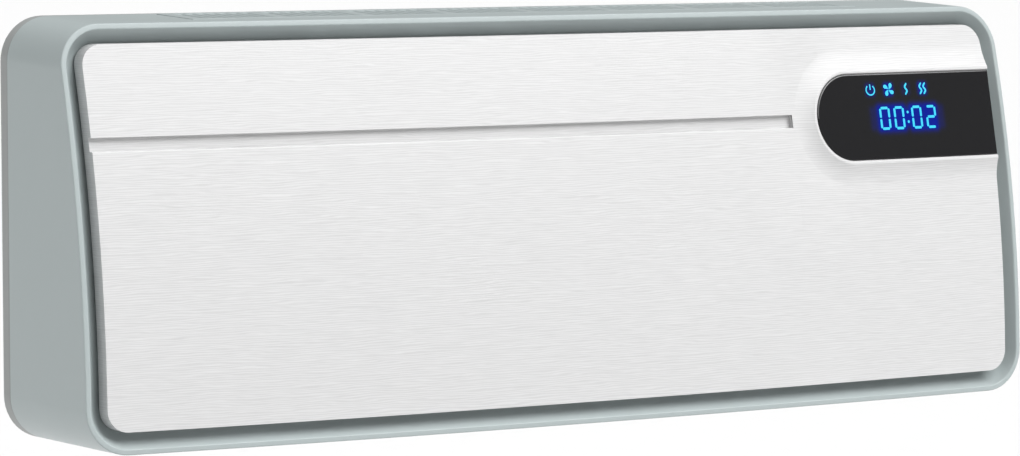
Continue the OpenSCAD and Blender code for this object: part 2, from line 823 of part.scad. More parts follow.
module motor_stack() {
    color([0.45, 0.46, 0.48])
    along_x(stack_x0, stack_x1) difference() {
        translate(in_plane(fan_d, fan_h)) difference() {
            translate([-stack_w / 2, -stack_low]) square([stack_w, stack_low + stack_high]);
            circle(rotor_r + 0.4);
            translate([-13, 15]) square([26, 12]);
            translate([-20, 15]) square([4, 12]);
        }
        for (p = motor_bolts) translate(in_plane(p[0], p[1])) circle(1.7);
    }
}

module motor_coil() {
    color([0.62, 0.33, 0.18])
    difference() {
        box_at(stack_x0 - 6, stack_x1 + 6, fan_d - 12.6, fan_d + 12.6, fan_h + 17, fan_h + 43.5);
        box_at(stack_x0 - 0.2, stack_x1 + 0.2, fan_d - 14, fan_d + 14, fan_h + 26.8, fan_h + 39.2);
    }
}

// Bridge over one end of the stack: a flat arm from bolt to bolt, with the bearing boss
module motor_bridge(x0, boss_x0, spacer_x0, spacer_x1) {
    v = motor_bolts[1] - motor_bolts[0];
    m = (motor_bolts[0] + motor_bolts[1]) / 2;
    difference() {
        union() {
            translate([x0, -m[0], up(m[1])])
                rotate([atan2(v[1], -v[0]), 0, 0])
                    translate([0, -norm(v) / 2 - 4, -5]) cube([2, norm(v) + 8, 10]);
            bar_x(fan_d, fan_h, boss_x0, boss_x0 + 5.5, 7);
            for (p = motor_bolts) bar_x(p[0], p[1], spacer_x0, spacer_x1, 3.5);
        }
        bar_x(fan_d, fan_h, x0 - 5, x0 + 7, shaft_r + run_gap);
        for (p = motor_bolts) bar_x(p[0], p[1], duct_x1, stack_x1 + 8, 1.6);
    }
}

module motor_bridge_left() {
    color([0.66, 0.67, 0.68]) motor_bridge(stack_x0 - 4, stack_x0 - 7.5, duct_x1 + plate_t, stack_x0);
}

module motor_bridge_right() {
    color([0.66, 0.67, 0.68]) motor_bridge(stack_x1 + 2, stack_x1 + 2, stack_x1, stack_x1 + 4);
}

module motor_screws() {
    color([0.70, 0.71, 0.72])
    for (p = motor_bolts) {
        bar_x(p[0], p[1], duct_x1, stack_x1 + 4, 1.4);
        bar_x(p[0], p[1], stack_x1 + 4, stack_x1 + 6, 2.8);
    }
}

// ---- Heating element ----

cap_w = 12;
side_plate = 1.25;
tube_t = 3;
fin_row = (heater_dep - 2 * side_plate - 2 * tube_t) / 3;
core_x0 = duct_x0 + cap_w;
core_x1 = duct_x1 - cap_w;
function row_d(i) = heater_d0 + side_plate + i * (fin_row + tube_t);
module corrugated(i) {
    n = floor((core_x1 - core_x0 - 4) / fin_pitch);
    rise = fin_row - 1.2;
    start = (core_x0 + core_x1 - n * fin_pitch) / 2;
    low = [for (j = [0:2 * n])
        [start + j * fin_pitch / 2, -row_d(i) - fin_row - 0.2 + (j % 2) * rise]];
    polygon(concat(low, reversed([for (p = low) p + [0, 1.6]])));
}

module heater_core() {
    color([0.72, 0.73, 0.74]) {
        translate([0, 0, up(heater_low)]) linear_extrude(heater_ht) {
            for (i = [0:2]) corrugated(i);
            for (i = [0:1])
                translate([core_x0 - 6, -row_d(i) - fin_row - tube_t])
                    square([core_x1 - core_x0 + 12, tube_t]);
            for (d = [heater_d0, heater_d1 - side_plate])
                translate([core_x0 - 2, -d - side_plate]) square([core_x1 - core_x0 + 4, side_plate]);
        }
    }
}

module end_cap(x0, x1) {
    difference() {
        box_at(x0, x1, heater_d0 - 0.3, heater_d1 + 0.3, heater_low - 0.6, heater_top + 0.6);
        for (i = [0:1])
            box_at(core_x0 - 6, core_x1 + 6, row_d(i) + fin_row, row_d(i) + fin_row + tube_t,
                   heater_low - 1, heater_top + 1);
        for (d = [heater_d0, heater_d1 - side_plate])
            box_at(core_x0 - 2, core_x1 + 2, d, d + side_plate,
                   heater_low - 1, heater_top + 1);
    }
}

module heater_end_caps() {
    color([0.22, 0.22, 0.23]) {
        end_cap(duct_x0, core_x0);
        end_cap(core_x1, duct_x1);
    }
}

// Tabs that leave the element through the right end plate
tab_h = heater_low + heater_ht / 2;
module heater_terminals() {
    color([0.80, 0.70, 0.45])
    for (i = [0:1])
        box_at(duct_x1 + plate_t, duct_x1 + plate_t + 9, row_d(i) + fin_row + 1.1,
               row_d(i) + fin_row + 1.9, tab_h - 3, tab_h + 3);
}

module thermal_cutout() {
    x0 = duct_x1 + plate_t;
    color([0.85, 0.80, 0.70]) {
        bar_x(cutout_d, cutout_h, x0, x0 + 6, 7.8);
        bar_x(cutout_d, cutout_h, x0 - plate_t - 1, x0, 5.7);
        for (z = [-3.5, 3.5])
            box_at(x0 + 6, x0 + 12, cutout_d - 2.4, cutout_d + 2.4, cutout_h + z - 0.4, cutout_h + z + 0.4);
    }
}

module thermal_fuse() {
    color([0.80, 0.80, 0.82])
    translate([duct_x1 + plate_t + 2.2, -row_d(0) + 2, up(tab_h - 8)]) cylinder(h = 16, r = 2);
}

// ---- Outlet ----

module outlet_guard() {
    bars = floor((duct_x1 - duct_x0) / 14) - 1;
    low = guard_h + 0.5;
    color([0.20, 0.20, 0.21]) {
        for (i = [0:bars])
            box_at(duct_x0 + 14 * (i + 0.5), duct_x0 + 14 * (i + 0.5) + 1.4, outlet_d0 + 0.2,
                   outlet_d1 - 0.2, low, low + 3.5);
        for (i = [0:3])
            let (d = outlet_d0 + 0.2 + i * (outlet_w - 2.4) / 3)
            box_at(duct_x0 + 0.2, duct_x1 - 0.2, d, d + 2, low, low + 3.5);
    }
}

flap_r = 150;
flap_t = 2;
flap_end = 1;
module outlet_flap() {
    low = 0.6;
    color([0.64, 0.67, 0.67]) {
        difference() {
            union() {
                along_x(duct_x0 + flap_end, duct_x1 - flap_end) flap_profile(low);
                for (x = [duct_x0 + flap_end, (duct_x0 + duct_x1) / 2 - 1.25, duct_x1 - flap_end - 2.5])
                    along_x(x, x + 2.5) flap_ear(low);
                bar_x(flap_d, flap_axis_h, duct_x0 + flap_end, duct_x0 + flap_end + 9, 4.2);
                bar_x(flap_d, flap_axis_h, duct_x1 - flap_end - 6, duct_x1 - flap_end, 4.2);
                bar_x(flap_d, flap_axis_h, duct_x1 - flap_end, duct_x1 + plate_t, pin_dia / 2);
            }
            bar_x(flap_d, flap_axis_h, duct_x0, duct_x0 + flap_end + 7, shaft_r + held);
        }
    }
}

// Blade of the flap: hollow towards the air stream, flush with the underside when shut
module flap_profile(low) {
    intersection() {
        translate(in_plane(flap_d, low)) translate([0, flap_r]) difference() {
            circle(flap_r, $fn = 200);
            circle(flap_r - flap_t, $fn = 200);
        }
        translate(in_plane(flap_d + flap_half, low - 1)) square([2 * flap_half, 8]);
    }
}

module flap_ear(low) {
    polygon([in_plane(flap_d - 9, low + 1), in_plane(flap_d + 9, low + 1),
             in_plane(flap_d + 4, flap_axis_h + 1), in_plane(flap_d - 4, flap_axis_h + 1)]);
}

module flap_spindle() {
    color([0.86, 0.86, 0.84])
        bar_x(flap_d, flap_axis_h, duct_x0 - plate_t - 5, duct_x0 + flap_end + 6, shaft_r);
}

module flap_motor() {
    x1 = duct_x0 - plate_t;
    h = flap_axis_h + motor_offset;
    color([0.75, 0.76, 0.78])
    difference() {
        union() {
            bar_x(flap_d, h, x1 - 19, x1, 12);
            box_at(x1 - 1, x1, flap_d - 3.5, flap_d + 3.5, h - 4, h + 17.5);
            box_at(x1 - 17, x1 - 3, flap_d - 7, flap_d + 7, h + 9, h + 14);
        }
        bar_x(flap_d, flap_axis_h, x1 - 6, x1 + 1, shaft_r + run_gap);
        bar_x(flap_d, h + ear_h, x1 - 2, x1 + 1, 1.4 + held);
    }
}

// ---- Electronics ----

board_w = 56;
board_x1 = post_x - 8;
board_x0 = board_x1 - board_w;
board_d = 10;
board_face = board_d + 1.6;
board_low = 32;
board_high = 124;
board_posts = [for (x = [board_x0 + 4, board_x1 - 4], h = [board_low + 4, board_high - 4]) [x, h]];
module main_board() {
    color([0.10, 0.36, 0.20])
    difference() {
        box_at(board_x0, board_x1, board_d, board_face, board_low, board_high);
        for (p = board_posts) bar_y(p[0], p[1], board_d - 1, board_face + 1, 1.5);
    }
}

module relays() {
    color([0.15, 0.30, 0.62])
    for (i = [0:2])
        box_at(board_x0 + 1.5 + 17 * i, board_x0 + 16.5 + 17 * i, board_face, board_face + 15,
               board_low + 25, board_low + 44);
}

module capacitor() {
    color([0.78, 0.66, 0.20])
        box_at(board_x0 + 10, board_x0 + 28, board_face, board_face + 12, board_low + 58, board_low + 67);
}

module power_module() {
    color([0.12, 0.12, 0.13])
        box_at(board_x0 + 32, board_x0 + 52, board_face, board_face + 17, board_low + 57, board_low + 83);
}

module terminal_block() {
    color([0.20, 0.45, 0.28])
    difference() {
        box_at(board_x0 + 12, board_x0 + 42, board_face, board_face + 13, board_low + 10, board_low + 22);
        for (i = [0:2])
            translate([board_x0 + 17 + 10 * i, -board_face - 7, up(board_low + 9)])
                cylinder(h = 9, r = 2.6);
    }
}

// Lead from the back of the display board down to the main board
module display_lead() {
    x = display_x + 6;
    start = on_skin(x, window_mid_h - 2, board_front + board_t + 0.8);
    color([0.85, 0.85, 0.85])
    lead([
        start,
        [x, -42, start[2]],
        [x, -42, up(board_high - 12)],
        [x, -board_face, up(board_high - 12)]
    ], 1.5);
}

// ---- Switch and inlet ----

rocker_x = half_w;
rocker_tilt = 7;
rocker_r = 9;
module rocker_body() {
    color([0.08, 0.08, 0.08])
    difference() {
        union() {
            box_at(rocker_x - 14, rocker_x, rocker_d - 6.3, rocker_d + 6.3, rocker_h - 9.3, rocker_h + 9.3);
            box_at(rocker_x, rocker_x + 2, rocker_d - 7.5, rocker_d + 7.5, rocker_h - 10.5, rocker_h + 10.5);
            for (h = [-6, 0, 6])
                box_at(rocker_x - 21, rocker_x - 14, rocker_d - 2.4, rocker_d + 2.4,
                       rocker_h + h - 0.4, rocker_h + h + 0.4);
        }
        box_at(rocker_x - 9, rocker_x + 3, rocker_d - 4.8, rocker_d + 4.8, rocker_h - 8.3, rocker_h + 8.3);
        bar_y(rocker_x - 2, rocker_h, rocker_d - 6, rocker_d + 6, 1.2 + run_gap);
    }
}

module rocker_key() {
    color([0.10, 0.10, 0.10]) {
        translate([rocker_x - 2, 0, up(rocker_h)]) rotate([0, rocker_tilt, 0])
            translate([2 - rocker_x, 0, -up(rocker_h)]) {
                difference() {
                    box_at(rocker_x - 5, rocker_x + 4, rocker_d - 4.5, rocker_d + 4.5,
                           rocker_h - 7.6, rocker_h + 7.6);
                    finger_hollow();
                }
            }
        bar_y(rocker_x - 2, rocker_h, rocker_d - 5.9, rocker_d + 5.9, 1.2);
    }
}

// The finger hollow in the face of the rocker
module finger_hollow() {
    bar_y(rocker_x + 28.5, rocker_h, rocker_d - 6, rocker_d + 6, 26);
}

gland_bore = 4;
module cable_gland() {
    color([0.13, 0.13, 0.13])
    translate([gland_x, -gland_d, 0]) difference() {
        union() {
            translate([0, 0, up(-3)]) cylinder(h = 14, r = gland_r);
            translate([0, 0, up(-3)]) cylinder(h = 3, r = gland_r + 2);
            translate([0, 0, up(wall)]) cylinder(h = 3, r = gland_r + 2, $fn = 6);
        }
        translate([0, 0, up(-4)]) cylinder(h = 16, r = gland_bore);
    }
}

// ---- Fasteners and leads ----

module housing_screws() {
    color([0.70, 0.71, 0.72]) for (p = posts) {
        bar_y(p[0], p[1], 11.6, 14, 3.4);
        bar_y(p[0], p[1], 14, post_split + 12, 1.5);
    }
}

module board_screws() {
    color([0.70, 0.71, 0.72]) for (p = board_posts) {
        bar_y(p[0], p[1], board_face, board_face + 2, 2.6);
        bar_y(p[0], p[1], board_d - 6, board_face, 1.2);
    }
}

module duct_screws() {
    color([0.70, 0.71, 0.72]) for (p = duct_feet) {
        bar_y(p[0], p[1], wall + 2.2, wall + 4.4, 3);
        bar_y(p[0], p[1], 0.4, wall + 2.2, 1.6);
    }
    color([0.70, 0.71, 0.72]) for (z = [-holder_screw_z, holder_screw_z]) {
        bar_x(fan_d, fan_h + z, duct_x0 - plate_t - 4.3, duct_x0 - plate_t - 2.5, 2.6);
        bar_x(fan_d, fan_h + z, duct_x0 - plate_t - 2.5, duct_x0, 1.5);
    }
    color([0.70, 0.71, 0.72]) {
        bar_x(flap_d, flap_axis_h + motor_offset + ear_h, duct_x0 - plate_t - 2.8, duct_x0 - plate_t - 1, 2.4);
        bar_x(flap_d, flap_axis_h + motor_offset + ear_h, duct_x0 - plate_t - 1, duct_x0, 1.4);
    }
}

module heater_leads() {
    x0 = duct_x1 + plate_t + 9;
    color([0.80, 0.20, 0.15])
    for (i = [0:1]) {
        x = board_x0 + 9 + 17 * i;
        d = row_d(i) + fin_row + 1.5;
        lead([[x0, -d, up(tab_h)], [x, -d, up(tab_h)], [x, -board_face - 15, up(tab_h)]], 1.3);
    }
}

module motor_lead() {
    x = board_x0 + 14;
    color([0.15, 0.25, 0.60])
    lead([
        [stack_x1 + 6, -fan_d, up(fan_h + 30)],
        [x, -fan_d, up(fan_h + 30)],
        [x, -fan_d, up(board_high - 7)],
        [x, -board_face, up(board_high - 7)]
    ], 1.2);
}

module switch_leads() {
    x = board_x1 - 2.5;
    color([0.15, 0.15, 0.15])
    for (h = [rocker_h - 6, rocker_h + 6])
        lead([[rocker_x - 21, -rocker_d, up(h)], [x, -rocker_d, up(h)], [x, -board_face, up(h)]], 1.1);
}

rear_cover();
front_housing();
front_panel();
display_window();
display_board();
led_display();
icon_leds();
ir_receiver();
intake_grille();
dust_filter();
left_end_plate();
right_end_plate();
rear_air_guide();
front_air_guide();
fan_impeller();
fan_stub_shaft();
fan_bearing();
bearing_rubber();
bearing_holder();
motor_shaft();
motor_rotor();
hub_screw();
motor_stack();
motor_coil();
motor_bridge_left();
motor_bridge_right();
motor_screws();
heater_core();
heater_end_caps();
heater_terminals();
thermal_cutout();
thermal_fuse();
outlet_guard();
outlet_flap();
flap_spindle();
flap_motor();
main_board();
relays();
capacitor();
power_module();
terminal_block();
rocker_body();
rocker_key();
cable_gland();
housing_screws();
board_screws();
duct_screws();
heater_leads();
motor_lead();
switch_leads();
display_lead();
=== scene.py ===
"""Bathroom wall fan heater: the visual model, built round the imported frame.

Lengths are in metres. X runs to the right, the front faces -Y and the wall lies at y = 0. The shaped front
pieces are modelled flat, with y as the setback behind the front, and are then laid on the double curve.
"""
import json
import math

import bmesh
import bpy
from bpy.props import FloatProperty, FloatVectorProperty, PointerProperty
from mathutils import Matrix, Vector


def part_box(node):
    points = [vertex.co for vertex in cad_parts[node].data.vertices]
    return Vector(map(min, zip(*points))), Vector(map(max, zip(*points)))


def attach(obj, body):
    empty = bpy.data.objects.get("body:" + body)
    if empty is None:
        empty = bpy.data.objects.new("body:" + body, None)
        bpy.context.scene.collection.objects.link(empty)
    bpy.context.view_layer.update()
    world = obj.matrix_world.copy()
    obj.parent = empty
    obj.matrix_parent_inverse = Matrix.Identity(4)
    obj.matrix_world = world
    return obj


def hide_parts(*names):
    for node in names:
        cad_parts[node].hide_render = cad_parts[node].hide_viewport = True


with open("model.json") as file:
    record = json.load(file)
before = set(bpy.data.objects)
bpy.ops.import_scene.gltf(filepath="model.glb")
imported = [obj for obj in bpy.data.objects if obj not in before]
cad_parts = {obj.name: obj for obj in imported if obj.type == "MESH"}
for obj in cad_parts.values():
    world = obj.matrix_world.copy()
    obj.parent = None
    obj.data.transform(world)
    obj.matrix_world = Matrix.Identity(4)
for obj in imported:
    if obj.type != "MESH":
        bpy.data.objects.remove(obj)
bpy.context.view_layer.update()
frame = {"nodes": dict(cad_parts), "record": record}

bl_info = {
    "name": "Bathroom Wall Fan Heater",
    "version": (1, 0, 0),
    "blender": (4, 5, 0),
    "location": "3D View > Sidebar > Heater",
    "description": "Models a wall fan heater with a double-curved front, a lit display and an outlet flap",
    "category": "Add Mesh",
}

MM = 0.001
TINY = 1e-6
SEAM_PLANE = 60 * MM
SHARP_ANGLE = math.radians(40)
SMOOTH_ANGLE = math.radians(32)
housing_low, housing_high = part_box("front_housing")


def length(name, description, default, low=0.0):
    return FloatProperty(name=name, description=description, default=default, min=low, unit="LENGTH")


def colour(name, description, default):
    return FloatVectorProperty(name=name, description=description, default=default, size=4,
                               subtype="COLOR", min=0.0, max=1.0)


class HeaterSizes(bpy.types.PropertyGroup):
    width: length("Width", "Width over the sides", housing_high.x - housing_low.x)
    height: length("Height", "Height of the front", 200 * MM)
    foot: length("Foot", "Level of the foot of the front", housing_low.z, low=-1.0)
    side_depth: length("Side depth", "Depth of the sides near the foot", 86.4 * MM)
    bow: length("Bow", "How far the middle of the front stands out", 11.2 * MM)
    top_drop: length("Top drop", "How far the top of the front lies behind its foot", 28.24 * MM)
    arc_foot: length("Deepest height", "Height at which the front is deepest", 9 * MM)
    top_rise: length("Top rise", "How much the top wall climbs from the front to the seam", 2.375 * MM)
    corner: length("Corner radius", "Radius of the outer corners", 21.5 * MM)
    wall: length("Wall", "Wall of the mouldings", 2.4 * MM)
    seam: length("Seam", "Depth of the rear cover that shows", -housing_high.y)
    rim: length("Rim", "Width of the rim round the front", 2.85 * MM)
    recess: length("Recess", "Depth of the recess behind the rim", 11 * MM)
    panel_gap: length("Panel gap", "Gap from the outline of the housing to the panel", 10.7 * MM)
    panel_lift: length("Panel lift", "How much closer the panel comes to the top edge", 1.1 * MM)
    panel: length("Panel thickness", "Thickness of the front panel at its edge", 8.6 * MM)
    groove_top: length("Groove height", "Height of the top of the groove", 147.2 * MM)
    groove_width: length("Groove width", "Width of the groove", 6.4 * MM)
    groove_depth: length("Groove depth", "Depth of the groove", 2.7 * MM)
    groove_end: length("Groove end", "Distance from the middle to the end of the groove", 130.6 * MM)
    window_height: length("Window height", "Height of the display window", 44 * MM)
    window_length: length("Window length", "Length of the display window", 118.4 * MM)
    window_mid: length("Window level", "Height of the middle of the window", 145 * MM)
    window: length("Window thickness", "Thickness of the window", 2 * MM)
    field_rise: length("Field rise", "How far the window stands out from the panel", 3.1 * MM)
    field_slope: length("Field slope", "Width of the smooth slope round the window", 10.6 * MM)
    field_lip: length("Field lip", "Width of the lip round the window", 2.2 * MM)


class HeaterColours(bpy.types.PropertyGroup):
    housing: colour("Housing", "Colour of the housing", (0.362, 0.407, 0.409, 1))
    shell: colour("Rear cover", "Colour of the rear cover", (0.288, 0.300, 0.298, 1))
    panel: colour("Panel", "Colour of the front panel", (0.563, 0.563, 0.565, 1))
    window: colour("Window", "Colour of the display window", (0.015, 0.015, 0.016, 1))
    glow: colour("Light", "Colour of the lit segments", (0.02, 0.68, 1.0, 1))
    halo: colour("Halo", "Colour of the haze round the lit segments", (0.0, 0.028, 0.75, 1))
    floor: colour("Floor", "Colour of the studio floor", (0.735, 0.735, 0.735, 1))


def sizes():
    return bpy.context.scene.heater_sizes


def colours():
    return bpy.context.scene.heater_colours


# ---- The double curve of the front ----

def arc_drop(reach, drop, at):
    """How far an arc that drops so much over its reach has dropped at a place."""
    radius = (reach * reach + drop * drop) / (2 * drop)
    return radius - math.sqrt(radius * radius - at * at)


def front_depth(x, height):
    """Distance from the wall to the front, at a place across and a height above the foot."""
    s = sizes()
    return (s.side_depth + s.bow - arc_drop(s.height - s.arc_foot, s.top_drop, height - s.arc_foot)
            - arc_drop(s.width / 2, s.bow, x))


def lay_on_front(ob):
    """Moves a flat piece onto the double curve, and its seam, far back, to the rear cover."""
    leave()
    s = sizes()
    for v in ob.data.vertices:
        height = v.co.z - s.foot
        if v.co.y < SEAM_PLANE - MM:
            v.co.y -= front_depth(v.co.x, height)
        else:
            share = (height - s.corner) / (s.height - 2 * s.corner)
            v.co.y += -s.seam - SEAM_PLANE
            v.co.z += s.top_rise * min(max(share, 0), 1)
    ob.data.update()


# ---- Small modelling steps ----

def leave():
    if bpy.context.mode != "OBJECT":
        bpy.ops.object.mode_set(mode="OBJECT")
    bpy.ops.object.select_all(action="DESELECT")


def only(*obs):
    leave()
    for ob in obs:
        ob.select_set(True)
    bpy.context.view_layer.objects.active = obs[0]


def edit(ob):
    only(ob)
    bpy.ops.object.mode_set(mode="EDIT")
    bpy.ops.mesh.select_all(action="DESELECT")


def add(name, primitive, **settings):
    """Adds a primitive with nothing else selected, with its place kept in its mesh."""
    leave()
    getattr(bpy.ops.mesh, f"primitive_{primitive}_add")(**settings)
    ob = bpy.context.object
    ob.name = ob.data.name = name
    bpy.ops.object.transform_apply(location=True, rotation=True, scale=True)
    return ob


def add_box(name, low, high):
    low, high = Vector(low), Vector(high)
    return add(name, "cube", size=1, location=(low + high) / 2, scale=high - low)


def add_bar(name, centre, radius, depth, turn=(math.pi / 2, 0, 0), sides=48):
    """A round bar, along Y unless its turn says otherwise."""
    return add(name, "cylinder", vertices=sides, radius=radius, depth=depth, location=centre, rotation=turn)


def rounded_box(name, low, high, axis, radius, segments):
    """A box with its edges along one axis rounded, left in edit mode."""
    ob = add_box(name, low, high)
    edit(ob)
    pick("EDGE", lambda e: abs(e.verts[0].co[axis] - e.verts[1].co[axis]) > TINY)
    bevel(radius, segments)
    return ob


def everything():
    bpy.ops.mesh.select_all(action="SELECT")


def fill():
    bpy.ops.mesh.edge_face_add()


def weld():
    bpy.ops.mesh.remove_doubles(threshold=TINY)


def turn_out():
    """Turns all faces of the piece being edited outwards."""
    everything()
    bpy.ops.mesh.normals_make_consistent(inside=False)


def middle(part):
    if isinstance(part, bmesh.types.BMVert):
        return part.co
    if isinstance(part, bmesh.types.BMFace):
        return part.calc_center_median()
    return (part.verts[0].co + part.verts[1].co) / 2


def pick(kind, test):
    """Selects the vertices, edges or faces that pass the test, and nothing else."""
    bpy.ops.mesh.select_mode(type=kind)
    bpy.ops.mesh.select_all(action="DESELECT")
    mesh = bpy.context.edit_object.data
    shape = bmesh.from_edit_mesh(mesh)
    parts = {"VERT": shape.verts, "EDGE": shape.edges, "FACE": shape.faces}[kind]
    chosen = [part for part in parts if test(part)]
    if not chosen:
        raise RuntimeError(f"{bpy.context.edit_object.name}: no {kind.lower()} was picked")
    for part in chosen:
        part.select_set(True)
    shape.select_flush_mode()
    bmesh.update_edit_mesh(mesh)


def facing(way, level):
    """A test for flat faces at a level of y that look one way."""
    return lambda f: way * f.normal.y > 0.999 and abs(middle(f).y - level) < TINY


def beside_wall(e):
    """Whether an edge borders a face that runs front to back."""
    return any(abs(f.normal.y) < 0.5 for f in e.link_faces)


def round_outline(level, width, segments):
    """Rounds the outline of a piece at a level of y."""
    pick("EDGE", lambda e: abs(middle(e).y - level) < TINY and beside_wall(e))
    bevel(width, segments)


def pull(x=0.0, y=0.0, z=0.0):
    """Extrudes what is selected."""
    bpy.ops.mesh.extrude_region_move(TRANSFORM_OT_translate={"value": (x, y, z)})


def slice_at(axis, places, test=None):
    """Cuts the faces that pass the test along planes across one axis."""
    for level in places:
        if test:
            pick("FACE", test)
        else:
            everything()
        spot, normal = Vector(), Vector()
        spot[axis] = level
        normal[axis] = 1
        bpy.ops.mesh.bisect(plane_co=spot, plane_no=normal, threshold=0.04 * MM)


def cut_away(kind, test):
    pick(kind, test)
    bpy.ops.mesh.delete(type=kind)


def inset(thickness, depth=0.0, boundary=True):
    bpy.ops.mesh.inset(thickness=thickness, depth=depth, use_boundary=boundary, use_even_offset=True,
                       use_relative_offset=False)


def step_rings(rings, boundary=True):
    """Insets the selected faces ring by ring: pairs of distance from the outline and level."""
    for (near, level), (far, deeper) in zip(rings, rings[1:]):
        inset(far - near, deeper - level, boundary)


def bevel(width, segments=3, affect="EDGES"):
    bpy.ops.mesh.bevel(offset=width, offset_type="OFFSET", segments=segments, profile=0.5, affect=affect,
                       clamp_overlap=True)


def soften(ob, width, segments, test):
    """Rounds the sharp edges whose middle passes the test."""
    edit(ob)
    pick("EDGE", lambda e: len(e.link_faces) == 2 and e.calc_face_angle(0) > SHARP_ANGLE and test(middle(e)))
    bevel(width, segments)
    leave()


def combine(ob, tool, how="DIFFERENCE"):
    """Cuts a tool out of a piece, or joins it on, and removes the tool."""
    only(ob)
    step = ob.modifiers.new("Combine", "BOOLEAN")
    step.operation, step.solver, step.object = how, "EXACT", tool
    bpy.ops.object.modifier_apply(modifier=step.name)
    bpy.data.objects.remove(tool)


def merged(*obs):
    only(*obs)
    bpy.ops.object.join()
    return bpy.context.object


def spread(low, high, pitch):
    """Even places between two limits, no further apart than the pitch."""
    count = math.ceil((high - low) / pitch)
    return [low + (high - low) * i / count for i in range(count + 1)]


def outwards(ob):
    edit(ob)
    turn_out()
    leave()


def complete(ob, body, slot, *nodes, look=None):
    """Shades a finished piece, gives it its material and ties it to the frame."""
    only(ob)
    bpy.ops.object.shade_smooth_by_angle(angle=SMOOTH_ANGLE)
    weigh = ob.modifiers.new("Weigh", "WEIGHTED_NORMAL")
    weigh.keep_sharp = True
    bpy.ops.object.modifier_apply(modifier=weigh.name)
    ob.data.materials.clear()
    ob.data.materials.append(look or slot_finish(slot))
    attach(ob, body)
    if nodes:
        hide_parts(*nodes)
    leave()


# ---- Materials ----

COLOUR, VALUE, VECTOR = "NodeSocketColor", "NodeSocketFloat", "NodeSocketVector"
GRAIN_SCALE = 1800.0


def feed(tree, socket, source):
    """Links a source to a socket, or sets the socket to a plain value."""
    if isinstance(source, bpy.types.NodeSocket):
        tree.links.new(source, socket)
    else:
        socket.default_value = source


def add_node(tree, kind, inputs=(), **settings):
    """A new node with its settings, and with its inputs linked or set."""
    node = tree.nodes.new("ShaderNode" + kind)
    for key, value in settings.items():
        setattr(node, key, value)
    for key, value in dict(inputs).items():
        feed(tree, node.inputs[key], value)
    return node


def find_node(tree, kind):
    return next(node for node in tree.nodes if node.type == kind)


def new_group(name, inputs, outputs):
    """A node group. An input's kind follows from its default."""
    group = bpy.data.node_groups.new(name, "ShaderNodeTree")
    for title, default in inputs.items():
        kind = VALUE if isinstance(default, float) else {3: VECTOR, 4: COLOUR}[len(default)]
        socket = group.interface.new_socket(name=title, in_out="INPUT", socket_type=kind)
        socket.default_value = default
    for title, kind in outputs.items():
        group.interface.new_socket(name=title, in_out="OUTPUT", socket_type=kind)
    return group, group.nodes.new("NodeGroupInput").outputs, group.nodes.new("NodeGroupOutput").inputs


def math_node(tree, operation, *values, clamp=False):
    return add_node(tree, "Math", enumerate(values), operation=operation, use_clamp=clamp).outputs[0]


def times(tree, first, second):
    return math_node(tree, "MULTIPLY", first, second)


def plus(tree, first, second):
    return math_node(tree, "ADD", first, second)


def blend(tree, first, second, share):
    """The first pattern's share added to the rest from the second."""
    return plus(tree, times(tree, first, share), times(tree, second, 1 - share))


def ripple(tree, phase):
    """A sine between nought and one."""
    return plus(tree, times(tree, math_node(tree, "SINE", phase), 0.5), 0.5)


def vector_node(tree, operation, *values):
    return add_node(tree, "VectorMath", enumerate(values), operation=operation).outputs


def scaled(tree, vector, share):
    return add_node(tree, "VectorMath", {0: vector, "Scale": share}, operation="SCALE").outputs[0]


def noise(tree, vector, scale, detail=2.0, rough=0.5):
    inputs = {"Vector": vector, "Scale": scale, "Detail": detail, "Roughness": rough}
    return add_node(tree, "TexNoise", inputs).outputs["Fac"]


def place(tree):
    return add_node(tree, "TexCoord").outputs["Object"]


def stretched(tree, vector, scale):
    return add_node(tree, "Mapping", {"Vector": vector, "Scale": scale}).outputs["Vector"]


def swing(tree, pattern, reach):
    """A pattern turned into a shift to both sides of nought."""
    return times(tree, math_node(tree, "SUBTRACT", pattern, 0.5), reach)


def tinted(tree, base, pattern, shift):
    """A colour made lighter and darker by a pattern round one half."""
    return scaled(tree, base, plus(tree, times(tree, swing(tree, pattern, shift), 2.0), 1.0))


def finish_group(name, values):
    """The sockets that every finish has, and those of its own."""
    return new_group(name, values, {"Colour": COLOUR, "Roughness": VALUE, "Normal": VECTOR})


def close_finish(tree, given, out, tone, gloss, reach, relief, height):
    """Leads the patterns of a finish to its colour, roughness and normal."""
    feed(tree, out["Colour"], tinted(tree, given["Colour"], tone, given["Shift"]))
    rough = math_node(tree, "ADD", given["Roughness"], swing(tree, gloss, reach), clamp=True)
    feed(tree, out["Roughness"], rough)
    relief = add_node(tree, "Bump", {"Strength": 1.0, "Height": relief, "Distance": height})
    feed(tree, out["Normal"], relief.outputs["Normal"])
    return tree


def moulded_group():
    """Moulded plastic: cloudy colour, a fine spark-eroded grain and a slightly uneven gloss."""
    tree, given, out = finish_group("Moulded finish", {
        "Colour": (0.5, 0.5, 0.5, 1), "Shift": 0.03, "Roughness": 0.45, "Grain Scale": GRAIN_SCALE,
        "Grain Height": 0.00002})
    spot = place(tree)
    cloud = noise(tree, spot, 14.0, 3.0)
    grain = noise(tree, spot, given["Grain Scale"], 2.0, 0.6)
    speck = blend(tree, cloud, grain, 0.7)
    return close_finish(tree, given, out, speck, speck, 0.25, grain, given["Grain Height"])


